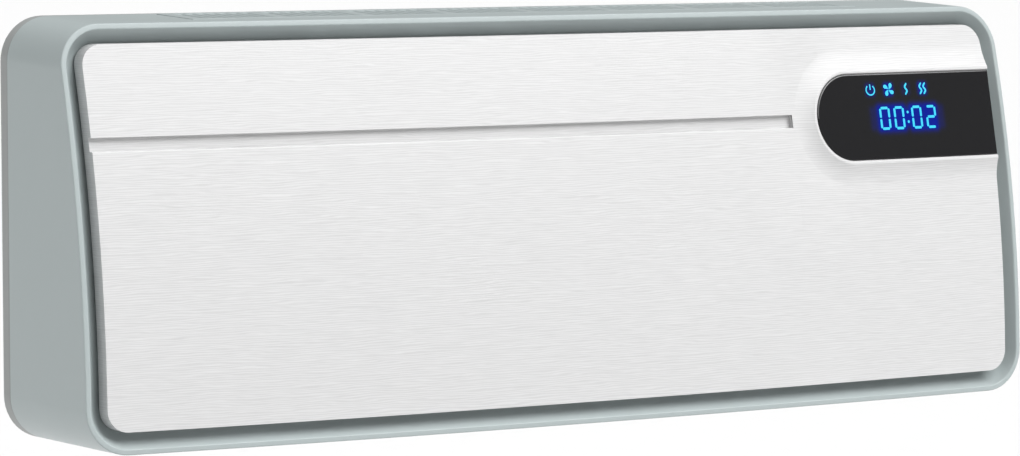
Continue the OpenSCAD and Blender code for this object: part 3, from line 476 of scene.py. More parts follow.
def brushed_group():
    """Brushing along X: long thin lines that waver a little, in colour, gloss and relief."""
    tree, given, out = finish_group("Brushed finish", {
        "Colour": (0.8, 0.8, 0.8, 1), "Shift": 0.02, "Roughness": 0.35, "Line Height": 0.00003})
    spot = place(tree)
    parts = add_node(tree, "SeparateXYZ", {0: spot}).outputs
    sway = noise(tree, stretched(tree, spot, (14, 14, 60)), 1.0)
    level = plus(tree, parts["Z"], times(tree, sway, 0.0022))
    bent = add_node(tree, "CombineXYZ", {"X": times(tree, parts["X"], 55.0),
                                         "Z": times(tree, level, 1500.0)})
    fine = noise(tree, bent.outputs["Vector"], 1.0, 1.0)
    wander = noise(tree, stretched(tree, spot, (38, 38, 420)), 1.0)
    ridge = ripple(tree, plus(tree, times(tree, level, 5700.0), times(tree, wander, 16.0)))
    lines = blend(tree, ridge, fine, 0.45)
    return close_finish(tree, given, out, lines, lines, 0.3, lines, given["Line Height"])


def layered_group():
    """Layers stacked along one axis: laminations, windings, fins and ground metal."""
    tree, given, out = finish_group("Layered finish", {
        "Colour": (0.5, 0.5, 0.5, 1), "Shift": 0.15, "Roughness": 0.4, "Layers": (1200.0, 0.0, 0.0),
        "Layer Height": 0.00005})
    spot = place(tree)
    count = vector_node(tree, "DOT_PRODUCT", spot, given["Layers"])["Value"]
    dirt = noise(tree, spot, 260.0, 3.0)
    mask = blend(tree, ripple(tree, times(tree, count, math.tau)), dirt, 0.55)
    return close_finish(tree, given, out, mask, dirt, 0.3, mask, given["Layer Height"])


def haze_group():
    """Light that falls off round the outline of a rounded box, as haze behind smoked plastic does."""
    tree, given, out = new_group("Haze", {
        "Centre": (0.0, 0.0, 0.0), "Half Size": (0.003, 1.0, 0.005), "Reach": 0.002, "Outline": 1.0,
    }, {"Haze": VALUE})
    away = vector_node(tree, "SUBTRACT", place(tree), given["Centre"])[0]
    over = vector_node(tree, "SUBTRACT", vector_node(tree, "ABSOLUTE", away)[0], given["Half Size"])[0]
    parts = add_node(tree, "SeparateXYZ", {0: over}).outputs
    out_x, out_z = (math_node(tree, "MAXIMUM", parts[axis], 0.0) for axis in "XZ")
    outside = math_node(tree, "SQRT", plus(tree, times(tree, out_x, out_x), times(tree, out_z, out_z)))
    deepest = math_node(tree, "MINIMUM", math_node(tree, "MAXIMUM", parts["X"], parts["Z"]), 0.0)
    inside = times(tree, math_node(tree, "ABSOLUTE", deepest), given["Outline"])
    steps = math_node(tree, "DIVIDE", plus(tree, outside, inside), given["Reach"])
    fall = times(tree, times(tree, steps, steps), -1.0)
    feed(tree, out["Haze"], math_node(tree, "EXPONENT", fall))
    return tree


GROUPS = {}


def shared_group(maker):
    if maker not in GROUPS:
        GROUPS[maker] = maker()
    return GROUPS[maker]


def finish(name, maker, base, metallic=0.0, gloss=0.5, **values):
    """A material with one shared finish group and its own shader."""
    made = bpy.data.materials.get(name)
    if made:
        return made
    made = bpy.data.materials.new(name)
    made.use_nodes = True
    made.diffuse_color = base
    tree = made.node_tree
    given = {key.replace("_", " ").title(): value for key, value in values.items()}
    group = add_node(tree, "Group", {"Colour": base, **given}, node_tree=shared_group(maker)).outputs
    shader = {"Base Color": group["Colour"], "Roughness": group["Roughness"], "Normal": group["Normal"],
              "Metallic": metallic, "IOR": 1.5, "Specular IOR Level": gloss}
    for key, value in shader.items():
        feed(tree, find_node(tree, "BSDF_PRINCIPLED").inputs[key], value)
    return made


# Colour, shift and roughness of the plastics that stay one colour, and the scale of a grain of their own
PLASTICS = {
    "board_green": ((0.02, 0.15, 0.06), 0.2, 0.3, 400.0),
    "part_black": ((0.02, 0.02, 0.022), 0.1, 0.45),
    "lens_clear": ((0.7, 0.8, 0.85), 0.03, 0.15),
    "frame_dark": ((0.05, 0.052, 0.056), 0.12, 0.55),
    "fan_black": ((0.022, 0.022, 0.024), 0.15, 0.5),
    "rubber_black": ((0.012, 0.012, 0.012), 0.1, 0.8),
    "acetal_white": ((0.72, 0.72, 0.69), 0.03, 0.35),
    "relay_blue": ((0.02, 0.07, 0.30), 0.06, 0.35),
    "film_yellow": ((0.55, 0.40, 0.04), 0.06, 0.35),
    "block_green": ((0.03, 0.18, 0.07), 0.06, 0.4),
    "key_black": ((0.018, 0.018, 0.02), 0.1, 0.3, 2600.0),
    "ceramic": ((0.66, 0.60, 0.48), 0.08, 0.6, 900.0),
    "lead_red": ((0.42, 0.02, 0.015), 0.06, 0.5),
    "lead_blue": ((0.015, 0.05, 0.32), 0.06, 0.5),
    "lead_black": ((0.015, 0.015, 0.016), 0.1, 0.5),
    "lead_white": ((0.66, 0.66, 0.65), 0.04, 0.5),
}
# Colour, shift, roughness, layers to the metre along each axis, their height, and how metallic
METALS = {
    "shaft_steel": ((0.56, 0.57, 0.58), 0.05, 0.25, (2400.0, 0.0, 0.0), 0.00001, 1.0),
    "bronze": ((0.46, 0.30, 0.12), 0.12, 0.45, (900.0, 0.0, 0.0), 0.00002, 1.0),
    "motor_steel": ((0.18, 0.19, 0.20), 0.25, 0.45, (2000.0, 0.0, 0.0), 0.00005, 1.0),
    "copper": ((0.36, 0.11, 0.04), 0.25, 0.4, (0.0, 0.0, 1500.0), 0.0001, 0.0),
    "alloy": ((0.60, 0.61, 0.62), 0.08, 0.35, (0.0, 0.0, 1400.0), 0.00002, 1.0),
    "screw_steel": ((0.48, 0.49, 0.50), 0.12, 0.3, (0.0, 0.0, 1100.0), 0.00002, 1.0),
}


def slot_finish(slot):
    """The material of one of the record's slots."""
    c = colours()
    name = "heater " + slot.replace("_", " ")
    if slot == "housing_grey":
        return finish(name, moulded_group, tuple(c.housing), gloss=0.22, shift=0.03, roughness=0.34,
                      grain_scale=2200.0, grain_height=0.00001)
    if slot == "shell_grey":
        return finish(name, moulded_group, tuple(c.shell), shift=0.04, roughness=0.5)
    if slot == "panel_white":
        return finish(name, brushed_group, tuple(c.panel), gloss=0.35, shift=0.13, roughness=0.46,
                      line_height=0.00004)
    if slot in METALS:
        base, shift, rough, layers, height, metallic = METALS[slot]
        return finish(name, layered_group, (*base, 1.0), metallic, shift=shift, roughness=rough,
                      layers=layers, layer_height=height)
    base, shift, rough, *grain = PLASTICS[slot]
    return finish(name, moulded_group, (*base, 1.0), shift=shift, roughness=rough,
                  grain_scale=grain[0] if grain else GRAIN_SCALE)


def window_finish():
    """High-gloss black plastic with the blue haze of the lit segments behind it."""
    s, c = sizes(), colours()
    made = finish("heater window black", moulded_group, tuple(c.window), gloss=0.2, shift=0.1,
                  roughness=0.05, grain_scale=60.0, grain_height=0.00001)
    tree = made.node_tree
    # Each patch of haze: place across, level, half width, half height, reach, outline and share
    spots = [(x, DIGIT_LEVEL, 3.0, 5.4, 2.0, 0.2, 0.62) for x in DIGIT_X]
    spots += [(x, ICON_LEVEL, 1.5, 1.8, 1.6, 0.0, share) for x, share in zip(ICON_X, ICON_HAZE)]
    spots += [(COLON_X, DIGIT_LEVEL, 0.2, 2.4, 2.0, 0.0, 0.5)]
    spots += [(COLON_X, DIGIT_LEVEL, 23.0, 4.3, 2.0, 0.0, 0.16)]
    total = 0.0
    for x, level, half_x, half_z, reach, outline, share in spots:
        haze = add_node(tree, "Group", {
            "Centre": (x * MM, 0, s.foot + level * MM), "Half Size": (half_x * MM, 1, half_z * MM),
            "Reach": reach * MM, "Outline": outline}, node_tree=shared_group(haze_group))
        total = plus(tree, total, times(tree, haze.outputs["Haze"], share))
    inputs = find_node(tree, "BSDF_PRINCIPLED").inputs
    bare = math_node(tree, "SUBTRACT", 1.0, total, clamp=True)
    feed(tree, inputs["Base Color"], scaled(tree, inputs["Base Color"].links[0].from_socket, bare))
    feed(tree, inputs["Emission Color"], scaled(tree, tuple(c.halo)[:3], total))
    inputs["Emission Strength"].default_value = 0.55
    return made


def light_finish():
    """Lit segments whose brightness wavers a little."""
    made = finish("heater lit segments", moulded_group, (0.01, 0.04, 0.06, 1.0), shift=0.05, roughness=0.4)
    tree = made.node_tree
    inputs = find_node(tree, "BSDF_PRINCIPLED").inputs
    flicker = noise(tree, place(tree), 900.0, 1.0)
    feed(tree, inputs["Emission Color"], tinted(tree, tuple(colours().glow)[:3], flicker, 0.15))
    inputs["Emission Strength"].default_value = 1.0
    return made


# ---- Housing ----

def cove(s):
    """Rings from the rim's face down the concave wall of the recess to its floor."""
    rings = [(2.15, 0.0), (2.45, 0.08), (2.72, 0.28), (2.95, 0.62)]
    start, level = rings[-1]
    fall, reach, steps = s.recess / MM - level, 10.9, 9
    for i in range(1, steps + 1):
        t = (i / steps) ** 1.25
        rings.append((start + reach * t, level + fall * (1 - (1 - t) ** 2.2)))
    return [(near * MM, -level * MM) for near, level in rings]


class HEATER_OT_housing(bpy.types.Operator):
    """Model the front housing: sides, rim, recess and openings in one moulding"""
    bl_idname = "heater.housing"
    bl_label = "Front Housing"

    def execute(self, context):
        s = sizes()
        half, top = s.width / 2, s.foot + s.height
        front_edge, seam_edge = 0.6 * MM, 0.35 * MM
        ob = rounded_box("housing", (-half, 0, s.foot), (half, SEAM_PLANE, top), 1, s.corner, 12)
        slice_at(0, spread(s.corner - half, half - s.corner, 22 * MM))
        slice_at(2, spread(s.foot + s.corner, top - s.corner, 16 * MM))
        round_outline(0, front_edge, 3)
        pick("FACE", facing(-1, 0))
        step_rings([(front_edge, 0.0)] + cove(s))
        round_outline(SEAM_PLANE, seam_edge, 2)
        pick("FACE", facing(1, SEAM_PLANE))
        inset(s.wall - seam_edge)
        pull(y=s.recess - MM - SEAM_PLANE)
        step_rings([(s.wall, 0.0), (s.wall + 0.4 * MM, -2 * MM), (s.rim + 3.6 * MM, 1.4 * MM),
                    (s.rim + 10 * MM, 3.2 * MM)])
        lay_on_front(ob)
        outwards(ob)
        self.open_up(ob)
        complete(ob, "heater", "housing_grey", "front_housing")
        return {"FINISHED"}

    def open_up(self, ob):
        """Cuts the openings for the intake, the outlet, the rocker switch and the cable gland."""
        s = sizes()
        half, top = s.width / 2, s.foot + s.height
        low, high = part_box("intake_grille")
        play, flange = 0.3 * MM, 3 * MM
        combine(ob, add_box("intake", (low.x + flange - play, low.y + flange - play, top - 5 * MM),
                            (high.x - flange + play, high.y + play, top + 6 * MM)))
        low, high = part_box("outlet_guard")
        combine(ob, add_box("outlet", (low.x - play, low.y + MM, s.foot - MM),
                            (high.x + play, high.y - MM, s.foot + s.wall + MM)))
        low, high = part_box("rocker_body")
        combine(ob, add_box("switch", (half - s.wall - 2 * MM, low.y + MM, low.z + MM),
                            (half + MM, high.y - MM, high.z - MM)))
        low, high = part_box("cable_gland")
        centre = (low + high) / 2
        combine(ob, add_bar("inlet", (centre.x, centre.y, s.foot), 6.65 * MM, 12 * MM, (0, 0, 0)))
        between = lambda m, front, back: abs(m.x) < half - s.corner and -front * MM < m.y < -back * MM
        soften(ob, 0.35 * MM, 2, lambda m: m.z > top - 0.2 * MM and between(m, 50, 8))
        soften(ob, 0.35 * MM, 2, lambda m: m.z < s.foot + 10 * TINY and between(m, 78, 12))


# ---- Rear cover ----

class HEATER_OT_rear_cover(bpy.types.Operator):
    """Model the rear cover with its lip, screw posts and keyholes"""
    bl_idname = "heater.rear_cover"
    bl_label = "Rear Cover"

    def execute(self, context):
        s = sizes()
        half, top = s.width / 2, s.foot + s.height + s.top_rise
        back_edge, seam_edge = 0.2 * MM, 0.5 * MM
        ob = rounded_box("rear_shell", (-half, -s.seam, s.foot), (half, 0, top), 1, s.corner, 12)
        round_outline(0, back_edge, 2)
        round_outline(-s.seam, seam_edge, 2)
        pick("FACE", facing(-1, -s.seam))
        inset(s.wall - seam_edge)
        pull(y=s.seam - s.wall)
        inset(0.45 * MM)
        inset(1.2 * MM)
        self.raise_lip(s, half, top)
        screws = [(side * 252 * MM, s.foot + level * MM) for side in (-1, 1) for level in (24, 100, 176)]
        board = [(x * MM, s.foot + level * MM) for x in (192, 240) for level in (36, 120)]
        inside = s.wall / 2
        for places, radius, reach in ((screws, 5 * MM, 28 * MM), (board, 3 * MM, 10 * MM)):
            for x, z in places:
                combine(ob, add_bar("post", (x, -(inside + reach) / 2, z), radius, reach - inside, sides=32),
                        "UNION")
        for x, z in screws:
            combine(ob, add_bar("counterbore", (x, -6.5 * MM, z), 4 * MM, 15 * MM, sides=32))
            combine(ob, add_bar("bore", (x, -20 * MM, z), 1.8 * MM, 20 * MM, sides=20))
        for x, z in board:
            combine(ob, add_bar("pilot", (x, -8 * MM, z), 1.22 * MM, 8 * MM, sides=16))
        for side in (-1, 1):
            self.keyhole(ob, s, side * 150 * MM)
        soften(ob, 0.35 * MM, 2, lambda m: m.y > -10 * TINY and abs(m.x) < half - 10 * MM
               and abs(m.z - (top + s.foot) / 2) < (top - s.foot) / 2 - 10 * MM)
        complete(ob, "heater", "shell_grey", "rear_cover")
        return {"FINISHED"}

    def raise_lip(self, s, half, top):
        """Raises the ring that enters the housing."""
        def in_ring(f):
            away = [min(half - abs(v.co.x), v.co.z - s.foot, top - v.co.z) for v in f.verts]
            return (facing(-1, -s.wall)(f) and len(f.verts) == 4 and max(away) < s.wall + 1.7 * MM
                    and not any(beside_wall(e) for e in f.edges))
        pick("FACE", in_ring)
        pull(y=s.wall - s.seam - 2.5 * MM)

    def keyhole(self, ob, s, x):
        """A raised pad inside and the round and slotted cut that hangs on a wall screw."""
        pad = rounded_box("pad", (x - 12 * MM, -s.wall - 1.2 * MM, -11 * MM),
                          (x + 12 * MM, -s.wall / 2, 18 * MM), 1, 4 * MM, 4)
        head, neck, rise, through = 5 * MM, 2.6 * MM, 9 * MM, 12 * MM
        combine(ob, pad, "UNION")
        combine(ob, add_bar("round", (x, 0, 0), head, through))
        combine(ob, add_box("slot", (x - neck, -through / 2, 0), (x + neck, through / 2, rise)))
        combine(ob, add_bar("rest", (x, 0, rise), neck, through, sides=32))


# ---- Intake grille ----

class HEATER_OT_grille(bpy.types.Operator):
    """Model the raised intake grille with its rows of slots"""
    bl_idname = "heater.grille"
    bl_label = "Intake Grille"

    def execute(self, context):
        s = sizes()
        low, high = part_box("intake_grille")
        flange, slot, pitch, row = 3 * MM, 3.4 * MM, 6 * MM, 7
        ob = add_box("intake_slats", (low.x + flange + 0.3 * MM, low.y + flange, low.z),
                     (high.x - flange - 0.3 * MM, high.y, high.z))
        edit(ob)
        pick("VERT", lambda v: v.co.z > high.z - TINY and v.co.y < low.y + flange + TINY)
        fall = s.top_rise / (s.side_depth - s.top_drop - s.seam) * (high.y - low.y - flange)
        bpy.ops.transform.translate(value=(0, 0, -fall))
        combine(ob, add_box("flange", low, (high.x, high.y, low.z + 0.8 * MM)), "UNION")
        first, margin = -31 * pitch, 4 * MM
        tool = rounded_box("slots", (first - slot / 2, low.y + flange + margin, low.z - MM),
                           (first + slot / 2, high.y - margin, high.z + MM), 2, 1.6 * MM, 5)
        only(tool)
        for count, step in ((row, pitch), (row + 1, (row + 1) * pitch)):
            copies = tool.modifiers.new("Rows", "ARRAY")
            copies.count = count
            copies.use_relative_offset, copies.use_constant_offset = False, True
            copies.constant_offset_displace = (step, 0, 0)
            bpy.ops.object.modifier_apply(modifier=copies.name)
        combine(ob, tool)
        margin -= 0.1 * MM
        slotted = lambda m: abs(m.x) < slot - first and low.y + flange + margin < m.y < high.y - margin
        for width, segments, within in ((0.45 * MM, 2, False), (1.15 * MM, 4, True)):
            soften(ob, width, segments, lambda m: m.z > high.z - fall - MM and slotted(m) == within)
        complete(ob, "heater", "housing_grey", "intake_grille")
        return {"FINISHED"}


# ---- Rocker switch ----

class HEATER_OT_switch(bpy.types.Operator):
    """Model the rocker switch at the right side: its bezel and its key"""
    bl_idname = "heater.switch"
    bl_label = "Rocker Switch"

    def execute(self, context):
        s = sizes()
        seat = Vector((s.width / 2, -30 * MM, s.foot + 75 * MM))
        face = 2 * MM
        pivot = seat - Vector((face, 0, 0))
        ob = rounded_box("switch_bezel", *self.room(seat, 0, 2, 7.5, 10.5), 0, 1.4 * MM, 4)
        pick("EDGE", lambda e: middle(e).x > seat.x + face - TINY)
        bevel(0.7 * MM, 3)
        combine(ob, add_box("case", *self.room(seat, -14, 1, 6.3, 9.3)), "UNION")
        combine(ob, add_box("well", *self.room(seat, -9, 3, 4.8, 8.3)))
        combine(ob, add_bar("pivot", pivot, 1.4 * MM, 12 * MM, sides=24))
        for shift in (-6, 0, 6):
            tab = self.room(seat + Vector((0, 0, shift * MM)), -21, -13, 2.4, 0.4)
            combine(ob, add_box("tab", *tab), "UNION")
        soften(ob, 0.3 * MM, 2, lambda m: m.x > seat.x + face - 0.1 * MM and abs(m.y - seat.y) < 5 * MM
               and abs(m.z - seat.z) < 8.5 * MM)
        complete(ob, "heater", "part_black", "rocker_body")
        self.key(seat, pivot)
        return {"FINISHED"}

    def room(self, seat, near, far, half_y, half_z):
        """Corners of a box round the switch's seat, from one distance off the side to another, in mm."""
        return seat + Vector((near, -half_y, -half_z)) * MM, seat + Vector((far, half_y, half_z)) * MM

    def key(self, seat, pivot):
        ob = add_box("switch_rocker", *self.room(seat, -5, 4, 4.5, 7.6))
        combine(ob, add_bar("hollow", seat + Vector((28.5 * MM, 0, 0)), 26 * MM, 12 * MM, sides=160))
        soften(ob, 0.5 * MM, 3, lambda m: True)
        ob.data.transform(Matrix.Translation(pivot) @ Matrix.Rotation(math.radians(7), 4, "Y")
                          @ Matrix.Translation(-pivot))
        combine(ob, add_bar("pin", pivot, 1.2 * MM, 11.8 * MM, sides=24), "UNION")
        complete(ob, "rocker", "key_black", "rocker_key")


# ---- Front panel ----

def window_centre(s):
    return s.width / 2 - s.panel_gap - s.window_length + s.window_height / 2, s.foot + s.window_mid


def rounded_end(name, radius, right):
    """The D-shaped outline of the display, as a flat wire: round on the left, open at its right end."""
    x, z = window_centre(sizes())
    ob = add(name, "circle", vertices=96, radius=radius, fill_type="NOTHING", location=(x, 0, z),
             rotation=(math.pi / 2, 0, 0))
    edit(ob)
    cut_away("VERT", lambda v: v.co.x > x + TINY)
    for side in (1, -1):
        pick("VERT", lambda v: abs(v.co.x - x) < TINY and side * (v.co.z - z) > 0)
        pull(x=right - x)
    return ob


class HEATER_OT_panel(bpy.types.Operator):
    """Model the floating front panel with its groove and the raised field round the display"""
    bl_idname = "heater.panel"
    bl_label = "Front Panel"

    def execute(self, context):
        s = sizes()
        edge = s.width / 2 - s.panel_gap
        low = s.foot + s.panel_gap
        high = s.foot + s.height - s.panel_gap + s.panel_lift
        corner = s.corner - s.panel_gap
        x, z = window_centre(s)
        grow = s.field_lip + s.field_slope
        radius = s.window_height / 2 + grow
        ob = rounded_end("panel", radius, edge)
        # From the field's lower end round the panel to its upper end
        for move in ((0, 0, low - z + radius), (-2 * edge, 0, 0), (0, 0, high - low), (2 * edge, 0, 0),
                     (0, 0, z + radius - high)):
            pull(*move)
        everything()
        weld()
        right_end = lambda v: abs(v.co.x - edge) < TINY and abs(abs(v.co.z - z) - radius) < TINY
        pick("VERT", right_end)
        fill()
        pick("EDGE", lambda e: not all(right_end(v) for v in e.verts))
        fill()
        reach = radius + TINY
        pick("EDGE", lambda e: all(abs(v.co.z - z) < reach and v.co.x > x - reach for v in e.verts))
        fill()
        turn_out()
        shape = bmesh.from_edit_mesh(ob.data)
        if len(shape.faces) != 2:
            raise RuntimeError(f"the panel has {len(shape.faces)} faces in place of 2")
        if max(f.normal.y for f in shape.faces) > 0:
            bpy.ops.mesh.flip_normals()
        pick("VERT", lambda v: abs(v.co.x) > edge - TINY
             and min(abs(v.co.z - low), abs(v.co.z - high)) < TINY)
        bevel(corner, 8, "VERTICES")
        everything()
        weld()

        def in_field(f):
            m = middle(f)
            return m.x > x and abs(m.z - z) < radius or math.hypot(m.x - x, m.z - z) < radius
        pick("FACE", in_field)
        step_rings(self.field_rings(s), boundary=False)
        pull(y=s.window)
        cut_away("FACE", lambda f: middle(f).x > edge - TINY)
        outside = lambda f: not in_field(f)
        groove = (s.foot + s.groove_top - s.groove_width, s.foot + s.groove_top)
        columns = [c for c in spread(corner - edge, edge - corner, 21 * MM)
                   if abs(c - s.groove_end) > 3 * MM]
        rows = [r for r in spread(low + corner, high - corner, 13 * MM)
                if min(abs(r - g) for g in groove) > 2.5 * MM]
        slice_at(0, [s.groove_end], outside)
        slice_at(2, groove, outside)
        pick("FACE", lambda f: groove[0] < middle(f).z < groove[1] and middle(f).x < s.groove_end)
        pull(y=s.groove_depth)
        cut_away("FACE", lambda f: middle(f).x < TINY - edge)
        slice_at(0, columns)
        slice_at(2, rows, outside)
        self.close_back(s, columns, rows)

        def lip(level):
            return lambda e: all(abs(v.co.z - level) < TINY and abs(v.co.y) < TINY
                                 and v.co.x < s.groove_end + TINY for v in e.verts)
        pick("EDGE", lip(groove[0]))
        bevel(0.6 * MM, 3)
        pick("EDGE", lip(groove[1]))
        bevel(0.25 * MM, 2)
        everything()
        bpy.ops.mesh.dissolve_degenerate(threshold=TINY)
        lay_on_front(ob)
        complete(ob, "heater", "panel_white", "front_panel")
        return {"FINISHED"}

    def field_rings(self, s):
        """Rings up the smooth slope, over the lip and down to the edge of the pocket."""
        grow, steps = s.field_lip + s.field_slope, 10
        crest = s.field_rise - 0.3 * MM
        rings = [(s.field_slope * i / steps, crest * (i / steps) ** 1.8) for i in range(steps + 1)]
        lip = ((1.95, 0.12), (1.65, 0), (0.8, 0), (0.45, 0.12), (0, 0.6))
        return rings + [(grow - near * MM, s.field_rise - low * MM) for near, low in lip]

    def close_back(self, s, columns, rows):
        """Takes the panel's edge back and closes it with a flat sheet, cut to follow the curve."""
        pick("EDGE", lambda e: len(e.link_faces) == 1)
        pull(y=s.panel)
        bpy.ops.transform.resize(value=(1, 0, 1), center_override=(0, s.panel, 0))
        weld()
        pick("EDGE", lambda e: len(e.link_faces) == 1)
        fill()
        turn_out()
        back = lambda f: abs(middle(f).y - s.panel) < TINY
        slice_at(0, columns, back)
        slice_at(2, rows, back)


# ---- Display ----

# Places across and heights above the foot, in mm
DIGIT_X = (189.0, 198.5, 210.4, 220.0)
DIGIT_LEVEL = 143.95
COLON_X = 204.4
DOT_LEVELS = (146.7, 141.8)
ICON_X = (181.4, 193.5, 205.2, 216.4)
ICON_LEVEL = 158.55
# Share of the haze round each icon
ICON_HAZE = (0.35, 0.8, 0.12, 0.65)


class HEATER_OT_window(bpy.types.Operator):
    """Model the black display window"""
    bl_idname = "heater.window"
    bl_label = "Display Window"

    def execute(self, context):
        s = sizes()
        seat = 0.15 * MM
        edge = s.width / 2 - s.panel_gap
        x = window_centre(s)[0]
        radius = s.window_height / 2 - seat
        ob = rounded_end("display_window_glass", radius, edge - 0.1 * MM)
        everything()
        fill()
        slice_at(0, spread(x - radius * 0.5, edge - 4 * MM, 8 * MM))
        everything()
        pull(y=s.window - 0.05 * MM)
        turn_out()
        pick("EDGE", lambda e: abs(middle(e).y) < TINY and e.calc_face_angle(0) > 1.2)
        bevel(0.7 * MM, 3)
        everything()
        bpy.ops.transform.translate(value=(0, -s.field_rise, 0))
        lay_on_front(ob)
        outwards(ob)
        complete(ob, "heater", "window_black", "display_window", look=window_finish())
        # A lighter grey on the window's bevel stands in for light: a painted highlight along its top edge
        ob.data.materials.append(finish("heater window top painted highlight", moulded_group, (0.09, 0.09, 0.092, 1.0),
                                        shift=0.1, roughness=0.25))
        # Only the bevel faces that look forwards and up take the painted highlight
        for face in ob.data.polygons:
            if 0.2 < -face.normal.y < 0.97 and face.normal.z > 0.2:
                face.material_index = 1
        return {"FINISHED"}


def copied(ob, shift, turn=0.0):
    """A copy of a flat piece with its own mesh, turned about Y and moved."""
    twin = ob.copy()
    twin.data = ob.data.copy()
    bpy.context.scene.collection.objects.link(twin)
    twin.data.transform(Matrix.Translation(Vector(shift)) @ Matrix.Rotation(turn, 4, "Y"))
    return twin


class HEATER_OT_display(bpy.types.Operator):
    """Model the lit digits and icons of the display"""
    bl_idname = "heater.display"
    bl_label = "Lit Display"

    thick = 0.06 * MM

    def execute(self, context):
        s = sizes()
        ob = merged(*self.digits(s), *self.icons(s))
        ob.name = ob.data.name = "display_lights"
        edit(ob)
        everything()
        bpy.ops.transform.translate(value=(0, -s.field_rise - 0.02 * MM, 0))
        lay_on_front(ob)
        outwards(ob)
        complete(ob, "heater", "lens_clear", look=light_finish())
        return {"FINISHED"}

    def bar(self, name, wide, high):
        """A flat bar with rounded ends, round the origin."""
        ob = rounded_box(name, (-wide / 2, -self.thick, -high / 2), (wide / 2, 0, high / 2), 1,
                         min(wide, high) * 0.42, 3)
        leave()
        return ob

    def digits(self, s):
        """Three noughts, a two and a colon, from segments copied off two bars."""
        upright = self.bar("upright", 1.3 * MM, 4.65 * MM)
        level = self.bar("level", 4.6 * MM, 1.3 * MM)
        half_w, arm, reach = 2.8 * MM, 2.65 * MM, 5.25 * MM
        # The seven segments by their usual letters: bar, place across and level
        segments = {"a": (level, 0, reach), "b": (upright, half_w, arm), "c": (upright, half_w, -arm),
                    "d": (level, 0, -reach), "e": (upright, -half_w, -arm), "f": (upright, -half_w, arm),
                    "g": (level, 0, 0)}
        shapes = {"0": "adfbec", "2": "agdbe"}
        parts = []
        for digit, x in zip("0002", DIGIT_X):
            for key in shapes[digit]:
                master, dx, dz = segments[key]
                parts.append(copied(master, (x * MM + dx, 0, s.foot + DIGIT_LEVEL * MM + dz)))
        dot = self.bar("dot", 1.35 * MM, 1.35 * MM)
        parts += [copied(dot, (COLON_X * MM, 0, s.foot + height * MM)) for height in DOT_LEVELS]
        for master in (upright, level, dot):
            bpy.data.objects.remove(master)
        return parts

    def ribbon(self, name, length_steps, half_width, path):
        """A flat ribbon along a path that gives (x, z, width share) for 0 to 1."""
        ob = add(name, "grid", x_subdivisions=length_steps, y_subdivisions=1, size=2,
                 rotation=(math.pi / 2, 0, 0))
        for v in ob.data.vertices:
            t, side = (v.co.x + 1) / 2, v.co.z
            x, z, share = path(t)
            x2, z2, _ = path(min(t + 0.01, 1.0))
            x1, z1, _ = path(max(t - 0.01, 0.0))
            along = Vector((x2 - x1, z2 - z1)).normalized() * side * half_width * share
            v.co = Vector((x - along.y, 0, z + along.x))
        edit(ob)
        everything()
        pull(y=-self.thick)
        leave()
        return ob

    def icons(self, s):
        """Power ring, four-bladed fan, one wave and two waves."""
        ring_r, gap = 2.55 * MM, math.radians(38)

        def arc(t):
            a = math.pi / 2 + gap + (math.tau - 2 * gap) * t
            return ring_r * 1.08 * math.cos(a), ring_r * 0.98 * math.sin(a), 1.0

        def wave(t):
            ends = math.sqrt(max(1 - (2 * t - 1) ** 8, 0.04))
            return -0.6 * MM * math.cos(3 * math.pi * t), (t - 0.5) * 6.1 * MM, ends

        def petal(t):
            bulge = math.sin(math.pi * (0.06 + 0.9 * t) ** 1.7) ** 0.7
            return 0.5 * MM * math.sin(math.pi * t), (0.3 + 3.25 * t) * MM, bulge
        centres = [(x * MM, 0, s.foot + ICON_LEVEL * MM) for x in ICON_X]
        ring = self.ribbon("ring", 32, 0.34 * MM, arc)
        stem = self.bar("stem", 0.7 * MM, 2.9 * MM)
        blade = self.ribbon("blade", 12, 1.05 * MM, petal)
        one_wave = self.ribbon("wave", 24, 0.5 * MM, wave)
        parts = [copied(ring, centres[0]), copied(stem, Vector(centres[0]) + Vector((0, 0, 1.5 * MM)))]
        parts += [copied(blade, centres[1], math.radians(90 * k + 25)) for k in range(4)]
        parts.append(copied(one_wave, centres[2]))
        parts += [copied(one_wave, Vector(centres[3]) + Vector((dx * MM, 0, 0))) for dx in (-1.3, 1.3)]
        for master in (ring, stem, blade, one_wave):
            bpy.data.objects.remove(master)
        return parts


# ---- Pieces that stay as the frame has them ----

class HEATER_OT_inner(bpy.types.Operator):
    """Give every piece that stays from the frame its own finish"""
    bl_idname = "heater.inner"
    bl_label = "Inner Pieces"

    def execute(self, context):
        slots = {part["node"]: part["material_slot"] for part in frame["record"]["subparts"]}
        for node, ob in frame["nodes"].items():
            if ob.hide_render:
                continue
            made = slot_finish(slots[node])
            if not ob.material_slots:
                ob.data.materials.append(made)
            for holder in ob.material_slots:
                holder.material = made
        return {"FINISHED"}


# ---- Stage ----

FLOOR_SIZE, FLOOR_LEVEL = 400, -3.4
WORLD_LIGHT, BACKDROP_LIGHT = 0.18, 0.9
# Name, strength, spread in degrees, and where the light comes from
LIGHTS = (
    ("Key light", 3.9, 48, (0.40, -0.57, 0.77)),
    ("Fill light", 1.3, 60, (-0.60, 0.15, 0.78)),
    ("Left light", 0.25, 90, (-0.95, -0.10, 0.30)),
)
# The camera as fitted to the photo: azimuth, elevation and roll in degrees, the point it looks at, how far
# that point lies from the picture's middle, the distance, and the focal length in pixels
CAMERA_TURN = (-32.23, 4.21, -0.13)
CAMERA_TARGET = Vector((0, -60.9, -48.5)) * MM
CAMERA_ACROSS, CAMERA_UP, CAMERA_DISTANCE = 22.15 * MM, 7.53 * MM, 2319.7 * MM
FOCAL_PIXELS, PHOTO_WIDTH, SENSOR_WIDTH = 4669.64, 1020, 36


